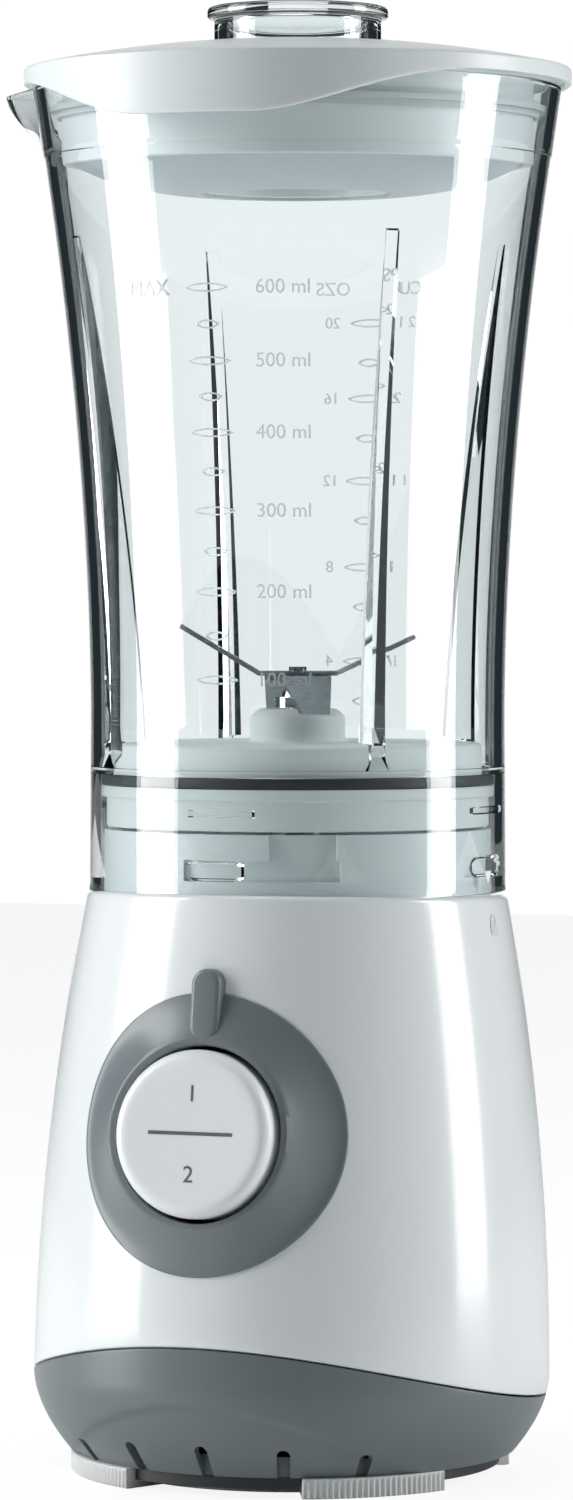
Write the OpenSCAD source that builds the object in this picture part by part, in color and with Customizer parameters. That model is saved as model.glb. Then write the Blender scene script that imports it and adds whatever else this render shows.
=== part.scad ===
// Compact countertop blender: leaning motor base, clear jug with a bayonet skirt,
// drop-in blade unit, lid and filler cap. Millimetres, +Z up.
// The origin is on the jug's axis, at the table. The control faces -Y.
// Angles called "phi" are measured round +Z from the front (-Y) towards +X.

/* [Base] */
// Height of the base's upper edge above the table
base_h = 123.5; // [120:0.5:150]
// Largest radius of the base
base_r = 55.35; // [54:0.05:66]
// How far the base leans forward towards its foot, degrees
base_lean = 1.9; // [0:0.1:3]
// Height at which the base is widest
belly_z = 15; // [10:1:30]
// Wall of the white housing
housing_wall = 2.4; // [1.8:0.1:3]
// Wall of the grey lower cover
cover_wall = 2.2; // [1.8:0.1:3]
// Height of the parting line at the back
parting_back_z = 15.5; // [14:0.5:24]
// Extra height of the parting line at the front
parting_rise = 15.4; // [0:0.2:22]
// Thickness of the housing's top flange
flange_t = 2.2; // [1.6:0.1:3]
// Depth of the sunk arch on the front of the lower cover
arch_step = 0.7; // [0.3:0.1:1]

/* [Feet and floor] */
// Height of the rubber feet
foot_h = 4.4; // [3:0.1:6]
// Thickness of the bottom plate
plate_t = 2.5; // [2:0.1:4]
// Thickness of the lower cover's floor
cover_floor_t = 2; // [1.6:0.1:3]

/* [Control] */
// Height of the control's centre
control_z = 75.8; // [70:0.1:82]
// Outer radius of the grey ring
ring_r = 29.5; // [27:0.1:31]
// Radius of the rocker button
button_r = 17.5; // [15:0.1:18.5]
// How far the ring's rim stands proud of the housing
rim_proud = 1.6; // [1:0.1:3]
// How far the button stands proud of the rim
button_proud = 3.9; // [2:0.1:6]

/* [Motor] */
// Radius of the stator laminations
stator_r = 25; // [23:0.5:28]
// Height of the lamination stack
stack_h = 28; // [20:1:34]
// Radius of the armature
armature_r = 13.8; // [12:0.1:15]
// Radius of the motor shaft
shaft_r = 4; // [3:0.1:5]
// Outer radius of both ball bearings
bearing_r = 11; // [9:0.5:12]
// Width of both ball bearings
bearing_w = 7; // [6:0.5:9]

/* [Jug] */
// Outer radius of the jug's skirt
skirt_r = 44.7; // [42:0.1:50]
// Height of the jug's rim above the table
jug_top_z = 295.6; // [270:0.2:330]
// Outer radius of the jug at its rim
rim_r = 56.6; // [52:0.1:64]
// Wall of the jug
jug_wall = 2.3; // [1.8:0.1:3]
// Distance from the axis to the tip of the spout
spout_r = 69.6; // [64:0.1:76]
// Depth of the spout below the rim
spout_h = 13; // [8:0.5:18]
// Turn that unlocks the jug, degrees
unlock_angle = 26; // [20:1:30]

/* [Blade unit] */
// Radius of the blade shaft
blade_shaft_r = 3; // [2.5:0.1:4]
// Radius of the hub that stands in the jug
hub_r = 10.2; // [9:0.1:13]
// Reach of the upper blade's arms
blade_reach = 25.4; // [20:0.1:30]
// Thickness of both blades
blade_t = 1; // [0.8:0.1:1.4]

/* [Lid] */
// Outer radius of the lid
lid_r = 58.6; // [54:0.1:66]
// Wall of the lid
lid_wall = 2.2; // [1.8:0.1:3]
// Height of the dome above the lid's edge
dome_h = 6.1; // [3:0.1:10]
// Outer radius of the filler cap's tube
cap_r = 17.9; // [15:0.1:20]
// Wall of the filler cap
cap_wall = 2.5; // [1.8:0.1:3]
// How far the cap stands above the lid
cap_stand = 7.3; // [5:0.1:12]

/* [Clearances] */
// Radial running clearance of shafts and pins
running = 0.05; // [0.02:0.01:0.1]
// Gap between pieces that move past each other
moving_gap = 0.3; // [0.25:0.05:0.5]
// Gap round pieces that are assembled by hand
assembly_gap = 0.15; // [0.1:0.05:0.3]
// Shadow gap at the parting line
shadow_gap = 0.4; // [0.2:0.1:0.8]

/* [Hidden] */
$fn = 96;
eps = 0.01;

// Base outline: an arc above the belly, a tighter curve below it
skirt_setback = 0.35;
base_top_r = skirt_r + skirt_setback;
side_curve = pow(base_h - belly_z, 2) / (2 * (base_r - base_top_r));
tuck_z = 21;
tuck_in = 7.6;
cover_z = foot_h;
form_steps = 9;
function base_radius(z) = base_r - pow(z - belly_z, 2) / (2 * side_curve)
    - (z < tuck_z ? tuck_in * pow((tuck_z - z) / (tuck_z - cover_z), 1.8) : 0);
function lean_shift(z) = (base_h - z) * tan(base_lean);
// How far a point at y and z lies inside the leaning housing, along its own -Y
function depth_inside(x, y, z) = let (
    r = base_radius(base_h + y * sin(base_lean) + (z - base_h) * cos(base_lean)))
    y * cos(base_lean) - (z - base_h) * sin(base_lean) + sqrt(max(1, r * r - x * x));
// Distance from the jug's axis to the housing's front at a height, by repeated steps
function front_reach(z, reach = base_r, steps = 6) = steps == 0 ? reach
    : front_reach(z, reach + depth_inside(0, -reach, z), steps - 1);
function parting_z(y) = parting_back_z
    + parting_rise * pow(max(0, (1 - y / base_r) / 2), 2.9);

// Jug seat: collar, skirt and the blade unit between them
skirt_gap = 0.5;
skirt_z = base_h + skirt_gap;
skirt_wall = jug_wall;
skirt_in_r = skirt_r - skirt_wall;
lug_depth = 0.7;
lug_in_r = skirt_in_r - lug_depth;
collar_r = lug_in_r - 0.2;
collar_wall = 2.9;
collar_in_r = collar_r - collar_wall;
collar_top_z = base_h + 13.9;
slot_depth = 1.2;
lug_z = base_h + 4.4;
lug_h = 3.8;
lug_phi = -2;
lug_width = 18;
slot_phi = lug_phi + unlock_angle;
slot_width = 20.6;
deck_z = base_h - flange_t - 2.6;
deck_t = 2.6;
jug_lugs = 4;

// Blade base stack, from the collar's top upwards
blade_skirt_z = collar_top_z + 0.6;
gasket_z = base_h + 23.3;
gasket_h = 2.4;
ledge_r = skirt_in_r - 1;
ledge_z = gasket_z + gasket_h;
ledge_h = 1.5;
keeper_z = base_h + 17.5;
keeper_h = 1.5;
keeper_r = skirt_in_r - 1.1;
disc_r = skirt_in_r - 2.9;
disc_z = base_h + 32.1;
disc_t = 2.6;
hub_top_z = disc_z + 7.3;
hub_low_r = 9;
bush_r = 5;
bush_z = base_h + 17.5;
bush_h = 16.5;
seal_r = 8;
seal_h = 4;

// Drive couplings: two sets of dogs that interleave
dog_count = 4;
dog_in_r = 8.5;
dog_out_r = 14;
dog_width = 20;
drive_plate_z = base_h - 1.1;
drive_plate_t = 3.4;
dog_h = 5.6;
dog_play = 0.6;
dog_phase = 25;
driven_plate_z = drive_plate_z + drive_plate_t + dog_h + dog_play;
driven_plate_t = 3.4;
coupling_r = 14.5;

// Motor stack, hung below the deck
stack_z = 50;
stack_top_z = stack_z + stack_h;
pole_gap = 0.5;
bore_r = armature_r + pole_gap;
coil_in_r = bore_r + 1.7;
coil_out_r = stator_r - 4.5;
coil_over = 6;
bracket_wall = 3;
ring_in_r = stator_r - 3.2;
lower_bearing_z = stack_z - 25.5;
upper_bearing_z = stack_top_z + 11;
commutator_r = 9.5;
commutator_z = stack_z - 17;
commutator_h = 10;
winding_r = armature_r - 1.2;
brush_z = commutator_z + 5;
brush_w = 6;
brush_h = 5;
brush_len = 14;
brush_x = commutator_r + moving_gap;
fan_r = 28.5;
fan_z = 10.5;
fan_h = 9;
fan_blades = 9;
mount_count = 4;
mount_r = 31.5;
mount_phi = 45;
mount_boss_r = 4.5;
mount_h = 4;
arm_z = upper_bearing_z - 1;
arm_t = 3;
mount_z = arm_z + arm_t;
stator_bolt_at = stator_r - 2.2;
stator_bolt_r = 1.5;

// Control axis: normal to the housing at the control's centre
control_y = front_reach(control_z);
control_lean = base_lean + atan((control_z - control_y * sin(base_lean) - belly_z) / side_curve);
ring_rim_r = 20;
ring_hole_r = button_r + 0.9;
ring_tube_r = ring_hole_r + 1.8;
ring_tube_depth = 12;
ring_edge = 0.5;
control_hole_r = ring_tube_r + 3.6;
fin_w = 6.2;
fin_flare = 2.1;
ring_angles = concat([for (a = [-246 : 6 : 66]) a], [for (a = [70 : 2 : 110]) a]);
fin_reach = 34.9;
button_face_s = rim_proud + button_proud;
button_wall = 1.8;
button_skirt_s = -8;
pivot_s = -4.5;
pivot_r = 1.5;
push_at = 10.5;
push_s = -7;
frame_s = -21;
frame_t = 2;
frame_half_x = 24;
frame_half_y = 22;
frame_screw_x = 20;
frame_screw_y = 18.5;
frame_screw_r = 1.4;
ear_in_x = 5;
ear_t = 2.5;
switch_len = 19.8;
switch_w = 6.4;
switch_top_s = -9.4;
plunger_r = 1.5;
plunger_len = 6;
board_t = 1.6;
board_s = frame_s - 4;

// Feet, floor and bottom screws
floor_y = -lean_shift(cover_z);
foot_phi = 45;
foot_width = 40;
foot_in_r = 33;
foot_web_h = 1;
foot_out_r = 47.2;
foot_pin_r = 2;
foot_pin_at = 41.5;
floor_hole_r = 28;
plate_r = 44.8;
post_phi = [90, 163, 197, 270];
post_at = 41;
post_r = 3.6;
post_top_z = 50;
web_z = 37;
screw_r = 1.5;
screw_head_r = 3;
screw_head_h = 2;
vent_phi = [-40.6, -20.3, 0, 20.3, 40.6];
vent_w = 2.6;
vent_top_z = 11;
vent_in_r = 44.5;
tongue_t = 1.2;
tongue_h = 3;
arch_half = 37;
arch_top_z = 19.5;
arch_foot_z = 6;

// Cord outlet at the back
cord_z = 30;
cord_r = 3.3;
bush_collar_r = 7;
bush_neck_r = 5.2;
bush_len = 10;
clamp_z = 23;
clamp_t = 3;
clamp_w = 4;
clamp_at = 9;
cord_wall_y = base_radius(cord_z) - lean_shift(cord_z);
clamp_y = cord_wall_y - bush_len - 1.1;

// Jug wall
flare_z = base_h + 36.5;
flare_power = 1.85;
flare_low_r = skirt_r - 0.2;
jug_steps = 14;
jug_step_z = jug_top_z - 15.1;
jug_step = 0.2;
rib_phi = 45;
rib_w = 2.8;
rib_depth = 7;
rib_foot_z = disc_z + 0.6;
rib_foot_depth = 2.2;
rib_top_z = jug_top_z - 32.6;
function jug_radius(z) = z < flare_z
    ? skirt_r - 0.2 * (z - skirt_z) / (flare_z - skirt_z)
    : flare_low_r + (rim_r - flare_low_r)
        * pow((z - flare_z) / (jug_top_z - flare_z), flare_power)
        + (z > jug_step_z ? jug_step * (jug_top_z - z) / (jug_top_z - jug_step_z) : 0);

// Lid levels, from the jug's rim
lid_gap = 0.5;
lid_low_z = jug_top_z + lid_gap;
lid_edge_z = lid_low_z + 3.3;
dome_r = (lid_r * lid_r + dome_h * dome_h) / (2 * dome_h);
apron_low_z = jug_top_z - 9.1;
apron_t = 1.6;
apron_in_r = lid_r - apron_t;
apron_half = 21;
apron_wide = 51;
plug_z = jug_top_z - 17.1;
plug_r = jug_radius(plug_z) - jug_wall - 0.9;
plug_in_r = plug_r - 2.3;
seal_z = jug_top_z - 7;
seal_band_h = 3.4;
seal_out_r = jug_radius(seal_z) - jug_wall - moving_gap;
filler_in_r = cap_r + moving_gap;
filler_r = filler_in_r + 2;
liner_t = 1.6;
liner_drop = 5.6;
liner_wall_h = 9;
filler_z = plug_z - liner_drop + 0.6;
cap_top_z = lid_edge_z + dome_h + cap_stand;
cap_flange_r = cap_r + 1.5;
cap_flange_h = 2.5;
cap_low_z = filler_z + 2.4;
function dome_z(r) = lid_edge_z + dome_h - dome_r + sqrt(dome_r * dome_r - r * r);

// ---- helpers ----

module tube(r_out, r_in, z, h) {
    translate([0, 0, z])
        difference() {
            cylinder(r = r_out, h = h);
            translate([0, 0, -1])
                cylinder(r = r_in, h = h + 2);
        }
}

module disc(r, z, h) {
    translate([0, 0, z])
        cylinder(r = r, h = h);
}

// A block between two radii and two heights, centred on phi
module arc_block(r_in, r_out, z, h, phi, width) {
    rotate([0, 0, phi - 90 - width / 2])
        rotate_extrude(angle = width)
            translate([r_in, z])
                square([r_out - r_in, h]);
}

module around(count, phi = 0) {
    for (i = [0 : count - 1])
        rotate([0, 0, phi + i * 360 / count])
            children();
}

// Puts a child drawn at the front, at -Y, onto each angle of a list
module at_each(angles) {
    for (phi = angles)
        rotate([0, 0, phi])
            children();
}

// Puts a child onto the centre of the base's lower edge
module at_floor() {
    translate([0, floor_y, 0])
        children();
}

module leaned() {
    translate([0, 0, base_h])
        rotate([-base_lean, 0, 0])
            translate([0, 0, -base_h])
                children();
}

// The base's outer form as a solid, taken in by an inset
module base_form(inset) {
    low = cover_z - 2;
    mid = tuck_z;
    high = base_h + 3;
    points = concat(
        [for (i = [0 : 5]) let (z = low + (mid - low) * i / 6)
            [base_radius(max(z, cover_z)) - inset, z]],
        [for (i = [0 : form_steps]) let (z = mid + (high - mid) * i / form_steps)
            [base_radius(z) - inset, z]]);
    leaned()
        rotate_extrude()
            polygon(concat([[0, low]], points, [[0, high]]));
}

// Everything above the parting surface, raised by a shift
module above_parting(shift) {
    reach = base_r + 8;
    steps = 16;
    curve = [for (i = [0 : steps]) let (y = -reach + 2 * reach * i / steps)
        [y, parting_z(y) + shift]];
    rotate([90, 0, 90])
        translate([0, 0, -reach])
            linear_extrude(2 * reach)
                polygon(concat(curve, [[reach, base_h + 10], [-reach, base_h + 10]]));
}

module at_control() {
    translate([0, -control_y, control_z])
        rotate([90 - control_lean, 0, 0])
            children();
}

// A cylinder along the control's axis, between two depths
module control_cylinder(r, s_low, s_high) {
    at_control()
        translate([0, 0, s_low])
            cylinder(r = r, h = s_high - s_low);
}

module control_box(x, y, size_x, size_y, s_low, s_high) {
    at_control()
        translate([x - size_x / 2, y - size_y / 2, s_low])
            cube([size_x, size_y, s_high - s_low]);
}

module frame_corners() {
    for (x = [-1, 1], y = [-1, 1])
        translate([x * frame_screw_x, y * frame_screw_y, 0])
            children();
}

module screw(head_r, head_h, r, length) {
    translate([0, 0, -head_h])
        cylinder(r = head_r, h = head_h);
    translate([0, 0, -eps])
        cylinder(r = r, h = length);
}

// ---- base: casings ----

module housing() {
    color("white") {
        difference() {
            intersection() {
                base_form(0);
                above_parting(shadow_gap / 2);
                disc(base_r + 10, 0, base_h);
            }
            intersection() {
                base_form(housing_wall);
                disc(base_r + 10, 0, base_h - flange_t);
            }
            disc(collar_r + assembly_gap, base_h - flange_t - 1, flange_t + 2);
            control_cylinder(control_hole_r, -20, 20);
            translate([0, 0, cord_z])
                rotate([-90, 0, 0])
                    cylinder(r = bush_neck_r, h = base_r + 10);
        }
        at_floor()
            at_each(post_phi)
                housing_post_foot();
        intersection() {
            base_form(housing_wall - 0.4);
            at_floor()
                at_each(post_phi)
                    housing_post_top();
        }
        intersection() {
            base_form(housing_wall - 0.4);
            clamp_bosses();
        }
        intersection() {
            base_form(housing_wall - 0.4);
            difference() {
                at_control()
                    frame_corners()
                        translate([0, 0, frame_s + frame_t])
                            cylinder(r = 3.2, h = 20);
                at_control()
                    frame_corners()
                        translate([0, 0, frame_s + frame_t - 1])
                            cylinder(r = frame_screw_r, h = 9);
            }
        }
    }
}

// The free part of a screw post, with its pilot hole
module housing_post_foot() {
    low = cover_z + cover_floor_t;
    difference() {
        translate([0, -post_at, low])
            cylinder(r = post_r, h = web_z - low + 1);
        translate([0, -post_at, low - 1])
            cylinder(r = screw_r, h = 13);
    }
}

// The upper part of a screw post, joined to the wall by a web
module housing_post_top() {
    translate([0, -post_at, web_z])
        cylinder(r = post_r, h = post_top_z - web_z);
    translate([-1.2, -base_r - 5, web_z])
        cube([2.4, base_r + 5 - post_at, post_top_z - web_z]);
}

// Two bosses at the back that take the cord clamp's screws
module clamp_bosses() {
    low = clamp_z + clamp_t;
    difference() {
        for (x = [-clamp_at, clamp_at]) {
            translate([x, clamp_y, low])
                cylinder(r = 2.9, h = 9);
            translate([x - 1, clamp_y, low])
                cube([2, base_r - clamp_y, 9]);
        }
        clamp_places()
            translate([0, 0, low - 1])
                cylinder(r = screw_r, h = 7);
    }
}

module bayonet_collar() {
    color("whitesmoke")
        difference() {
            union() {
                tube(collar_r, collar_in_r, deck_z, collar_top_z - deck_z);
                disc(collar_in_r + 1, deck_z, deck_t);
                tube(base_top_r - housing_wall, collar_in_r + 1, deck_z,
                     base_h - flange_t - deck_z);
                around(mount_count, mount_phi)
                    translate([0, -mount_r, mount_z + mount_h])
                        cylinder(r = mount_boss_r, h = deck_z - mount_z - mount_h + 1);
            }
            disc(seal_seat_r, deck_z - 1, deck_t + 2);
            for (i = [0 : jug_lugs - 1]) {
                turn = i * 360 / jug_lugs;
                arc_block(collar_r - slot_depth + 0.1, collar_r + 1, lug_z + 1,
                          collar_top_z - lug_z, slot_phi + turn - 0.5, slot_width - 1);
                arc_block(collar_r - slot_depth, collar_r + 1, lug_z - moving_gap,
                          lug_h + 2 * moving_gap,
                          (lug_phi + slot_phi) / 2 + turn, slot_width + unlock_angle);
            }
            around(mount_count, mount_phi)
                translate([0, -mount_r, mount_z + mount_h - 1])
                    cylinder(r = screw_r, h = 11);
            around(3, 0)
                translate([0, -seal_screw_at, deck_z - 1])
                    cylinder(r = seal_screw_r, h = deck_t + 2);
        }
}

module lower_cover() {
    color("slategray")
        difference() {
            union() {
                difference() {
                    intersection() {
                        base_form(0);
                        disc(base_r + 10, cover_z, base_h);
                    }
                    difference() {
                        base_form(cover_wall);
                        disc(base_r + 10, 0, cover_z + cover_floor_t);
                    }
                    above_parting(-shadow_gap / 2);
                }
                difference() {
                    base_form(max(cover_wall, housing_wall) + assembly_gap - 0.4);
                    base_form(max(cover_wall, housing_wall) + assembly_gap + tongue_t);
                    above_parting(-shadow_gap / 2 - eps);
                    disc(base_r + 10, 0, cover_z + 6);
                }
                difference() {
                    base_form(housing_wall + assembly_gap);
                    base_form(housing_wall + assembly_gap + tongue_t);
                    above_parting(tongue_h);
                    disc(base_r + 10, 0, cover_z + 6);
                }
            }
            disc(floor_hole_r, 0, cover_z + cover_floor_t + 1);
            at_floor() {
                at_each(vent_phi)
                    vent_cut();
                at_each([for (phi = vent_phi) phi + 180])
                    vent_cut();
                foot_pin_places(foot_pin_r + assembly_gap, 12);
                at_each(post_phi)
                    translate([0, -post_at, 0])
                        cylinder(r = screw_r + 0.2, h = 12);
            }
            arch_cut();
        }
}

module vent_cut() {
    rotate([90, 0, 0]) {
        translate([0, vent_top_z - vent_w / 2, vent_in_r])
            cylinder(r = vent_w / 2, h = 16);
        translate([-vent_w / 2, 0, vent_in_r])
            cube([vent_w, vent_top_z - vent_w / 2, 16]);
    }
}

// A shallow arch on the front of the lower cover, cut to an even depth
module arch_cut() {
    rise = arch_top_z - arch_foot_z;
    arch_r = (arch_half * arch_half + rise * rise) / (2 * rise);
    difference() {
        translate([0, 0, arch_top_z - arch_r])
            rotate([90, 0, 0])
                cylinder(r = arch_r, h = base_r + 10);
        base_form(arch_step);
    }
}

module bottom_plate() {
    color("#222222")
        difference() {
            union() {
                at_floor()
                    disc(plate_r, cover_z - plate_t, plate_t);
                tube(floor_hole_r - assembly_gap, floor_hole_r - 2, cover_z - eps, 2);
            }
            at_floor() {
                around(2)
                    for (phi = [-foot_phi, foot_phi])
                        arc_block(foot_in_r - assembly_gap, base_r, 0, cover_z + 1, phi,
                                  foot_width + 1);
                at_each(post_phi)
                    translate([0, -post_at, 0]) {
                        cylinder(r = screw_r + 0.2, h = 12);
                        cylinder(r = screw_head_r + 0.2, h = cover_z - plate_t + 1.3);
                    }
            }
            for (x = [-3 : 3])
                translate([x * 6 - 1.2, -inlet_half(x), 0])
                    cube([2.4, 2 * inlet_half(x), 10]);
        }
}

module rubber_feet() {
    color("gainsboro")
        at_floor() {
            around(2)
                for (phi = [-foot_phi, foot_phi])
                    arc_block(foot_in_r, foot_out_r, 0, foot_h, phi, foot_width);
            foot_pin_places(foot_pin_r, foot_h + cover_floor_t + 1);
            tube(foot_in_r + 4, foot_in_r + 1, 0, foot_web_h);
        }
}

module foot_pin_places(r, h) {
    around(2)
        for (side = [-1, 1], offset = [-11, 11])
            rotate([0, 0, side * foot_phi + offset])
                translate([0, -foot_pin_at, 1])
                    cylinder(r = r, h = h - 1);
}

module base_screws() {
    color("silver")
        at_floor()
            at_each(post_phi)
                translate([0, -post_at, cover_z - plate_t + 1.3])
                    screw(screw_head_r, 1.2, screw_r, 14);
}

// ---- base: control ----

// The housing's surface along the control's axis, at a radius and angle on the ring
function housing_depth(r, a, s = 0, steps = 6) = steps == 0 ? s : housing_depth(r, a,
    s + depth_inside(r * cos(a),
        -control_y + r * sin(a) * sin(control_lean) - s * cos(control_lean),
        control_z + r * sin(a) * cos(control_lean) + s * sin(control_lean)),
    steps - 1);

// The ring's outline: a circle with the fin standing out of it at the top
function fin_edge(a) = let (c = abs(90 - a), half = fin_w / 2, high = fin_reach - half)
    c >= 60 ? 0
        : half * cos(c) <= high * sin(c) ? half / sin(c)
        : high * cos(c) + sqrt(half * half - pow(high * sin(c), 2));
function ring_edge_r(a) = max(ring_r, fin_edge(a));

// Height of the dish, lifted to the rim's plane over the fin
function dish_top(r, a) = let (
    t = min(1, max(0, (r - ring_rim_r) / (ring_r - ring_rim_r))),
    edge = housing_depth(min(r, ring_r), a) + ring_edge,
    dish = t >= 1 ? housing_depth(r, a) + ring_edge
        : edge + (rim_proud - edge) * pow(1 - t, 1.5),
    side = abs(r * cos(a)) - fin_w / 2,
    lift = sin(a) > 0 ? min(1, max(0, 1 - side / fin_flare)) : 0)
    dish + (rim_proud - dish) * lift;

// The ring's section at one angle: tube, underside on the housing, edge and dish
function ring_section(a) = let (far = ring_edge_r(a), levels = 5) concat(
    [[ring_hole_r, -ring_tube_depth], [ring_tube_r, -ring_tube_depth]],
    [for (k = [0 : levels]) let (r = ring_tube_r + (far - ring_tube_r) * k / levels)
        [r, housing_depth(r, a) + 0.05]],
    [[far, housing_depth(far, a) + ring_edge],
     [far - 0.5, far > ring_r ? rim_proud : dish_top(far - 0.5, a)]],
    [for (k = [levels - 1 : -1 : 0])
        let (r = ring_rim_r + (far - 1 - ring_rim_r) * k / levels) [r, dish_top(r, a)]],
    [[ring_hole_r, rim_proud]]);

module control_ring() {
    rings = [for (a = ring_angles) [for (p = ring_section(a))
        [p[0] * cos(a), p[0] * sin(a), p[1]]]];
    count = len(rings);
    per = len(rings[0]);
    color("gray")
        at_control()
            polyhedron([for (ring = rings) each ring],
                [for (i = [0 : count - 1], k = [0 : per - 1]) let (
                    j = (i + 1) % count,
                    l = (k + 1) % per)
                    each [[i * per + k, i * per + l, j * per + l],
                          [i * per + k, j * per + l, j * per + k]]]);
}

module button() {
    round_r = 2.2;
    color("white") {
        difference() {
            at_control()
                rotate_extrude()
                    polygon(concat([[0, button_skirt_s], [button_r, button_skirt_s]],
                        [for (i = [0 : 6]) let (a = 90 * i / 6)
                            [button_r - round_r + round_r * cos(a),
                             button_face_s - round_r + round_r * sin(a)]],
                        [[0, button_face_s]]));
            control_cylinder(button_r - button_wall, button_skirt_s - 1, button_face_s - 2.4);
        }
        difference() {
            union() {
                for (x = [-1, 1])
                    control_box(x * (ear_in_x + ear_t + 1.6), 0, 2.4, 7,
                                button_skirt_s, button_face_s - 2);
                for (y = [-1, 1])
                    control_box(0, y * push_at, 6, 3.2, push_s, button_face_s - 2);
            }
            pivot_bore(pivot_r + running, 40);
        }
    }
}

module pivot_bore(r, length) {
    at_control()
        translate([0, 0, pivot_s])
            rotate([0, 90, 0])
                cylinder(r = r, h = length, center = true);
}

module pivot_pin() {
    color("silver")
        pivot_bore(pivot_r, 2 * (ear_in_x + ear_t + 3.2));
}

module switch_frame() {
    color("dimgray")
        difference() {
            union() {
                control_box(0, 0, 2 * frame_half_x, 2 * frame_half_y, frame_s, frame_s + frame_t);
                for (x = [-1, 1])
                    control_box(x * (ear_in_x + ear_t / 2), 0, ear_t, 6,
                                frame_s + frame_t - eps, pivot_s + 2.8);
                for (x = [-1, 1], y = [-1, 1])
                    control_box(x * 13, y * 13, 4, 4, board_s + board_t, frame_s + eps);
            }
            pivot_bore(pivot_r, 60);
            at_control()
                frame_corners()
                    translate([0, 0, frame_s - 1])
                        cylinder(r = frame_screw_r + 0.2, h = frame_t + 2);
        }
}

module frame_screws() {
    color("silver")
        at_control()
            frame_corners()
                translate([0, 0, frame_s])
                    screw(2.6, 1.6, frame_screw_r, 8);
}

module speed_switches() {
    color("#303030")
        difference() {
            for (y = [-1, 1])
                control_box(0, y * push_at, switch_len, switch_w,
                            frame_s + frame_t, switch_top_s);
            for (y = [-1, 1])
                at_control()
                    translate([0, y * push_at, switch_top_s - plunger_len])
                        cylinder(r = plunger_r + running, h = plunger_len + 1);
        }
}

module plunger(side) {
    color("firebrick")
        at_control()
            translate([0, side * push_at, push_s - 0.2 - plunger_len + 1])
                cylinder(r = plunger_r, h = plunger_len - 1);
}

module upper_plunger() {
    plunger(1);
}

module lower_plunger() {
    plunger(-1);
}

module speed_board() {
    color("darkgreen")
        control_box(0, 0, 34, 32, board_s, board_s + board_t);
}

module capacitor() {
    color("goldenrod")
        control_box(-3, 0, 10, 4, board_s + board_t, frame_s - 0.3);
}

module speed_diode() {
    color("#181818")
        at_control()
            translate([8, 0, board_s + board_t + 1])
                rotate([90, 0, 0])
                    cylinder(r = 1, h = 5, center = true);
}

// ---- base: motor ----

module stator_core() {
    color("slategray")
        translate([0, 0, stack_z])
            linear_extrude(stack_h)
                difference() {
                    circle(r = stator_r);
                    circle(r = bore_r);
                    for (side = [90, 270])
                        coil_window(side);
                    for (y = [-1, 1])
                        translate([0, y * stator_bolt_at])
                            circle(r = stator_bolt_r + 0.1);
                }
}

module coil_window(phi) {
    rotate(phi - 90) {
        intersection() {
            difference() {
                circle(r = coil_out_r + 0.3);
                circle(r = coil_in_r - 0.3);
            }
            polygon([[0, 0], [40, 32 * 1.6], [40, -32 * 1.6]]);
        }
        translate([0, -3])
            square([coil_in_r, 6]);
    }
}

module field_coils() {
    side_phi = 62;
    side_w = 16;
    color("chocolate")
        around(2) {
            for (z = [stack_z - coil_over, stack_top_z + 0.4])
                arc_block(coil_in_r, coil_out_r, z, coil_over - 0.4, 0,
                          2 * side_phi + side_w);
            for (side = [-1, 1])
                arc_block(coil_in_r + 0.2, coil_out_r - 0.2, stack_z - coil_over + 1,
                          stack_h + 2 * coil_over - 2, side * side_phi, side_w - 1);
        }
}

module lower_bracket() {
    hub_z = lower_bearing_z - 1.5;
    color("lightgray")
        difference() {
            union() {
                tube(stator_r, ring_in_r, stack_z - 4, 4);
                for (phi = [0, 180])
                    arc_block(ring_in_r + 0.2, stator_r - 0.2, hub_z + 0.4,
                              stack_z - hub_z - 1, phi, 38);
                for (phi = [0, 180])
                    arc_block(bearing_r + 1, stator_r - 0.5, hub_z + 0.3, bracket_wall,
                              phi, 34);
                disc(bearing_r + 2.5, hub_z, bearing_w + 1.5);
                for (side = [-1, 1])
                    translate([side * (brush_x + 11) - 7, -7, brush_z - 9])
                        cube([14, 14, 5.5]);
                for (side = [-1, 1])
                    translate([side * 14.5 - 2.5, -6, hub_z + 0.5])
                        cube([5, 12, brush_z - 9 - hub_z + 0.5]);
            }
            disc(bearing_r, lower_bearing_z, stack_h);
            disc(shaft_r + 1.5, 0, stack_z);
            for (y = [-1, 1])
                translate([0, y * stator_bolt_at, stack_z - 12])
                    cylinder(r = stator_bolt_r, h = 20);
        }
}

module upper_bracket() {
    hub_top = upper_bearing_z + bearing_w + 1.5;
    color("lightgray")
        difference() {
            union() {
                tube(stator_r, ring_in_r, stack_top_z, 4);
                for (phi = [0, 180])
                    arc_block(ring_in_r + 0.2, stator_r - 0.2, stack_top_z + 0.5,
                              mount_z - stack_top_z - 0.9, phi, 44);
                for (phi = [0, 180])
                    arc_block(bearing_r + 1, stator_r - 0.5, arm_z, arm_t, phi, 42);
                disc(bearing_r + 2.5, arm_z, hub_top - arm_z);
                around(mount_count, mount_phi) {
                    translate([-5, -mount_r, arm_z + 0.2])
                        cube([10, mount_r - bearing_r - 1, arm_t - 0.4]);
                    translate([0, -mount_r, arm_z])
                        cylinder(r = 6, h = arm_t);
                }
            }
            disc(bearing_r, stack_z, upper_bearing_z + bearing_w - stack_z);
            disc(shaft_r + 1.5, 0, base_h);
            around(mount_count, mount_phi)
                translate([0, -mount_r, arm_z - 1])
                    cylinder(r = screw_r + 1, h = arm_t + 2);
            for (y = [-1, 1])
                translate([0, y * stator_bolt_at, stack_top_z - 1])
                    cylinder(r = stator_bolt_r + 0.1, h = 20);
        }
}

module bearing(z) {
    color("silver")
        tube(bearing_r, shaft_r + running, z, bearing_w);
}

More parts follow.
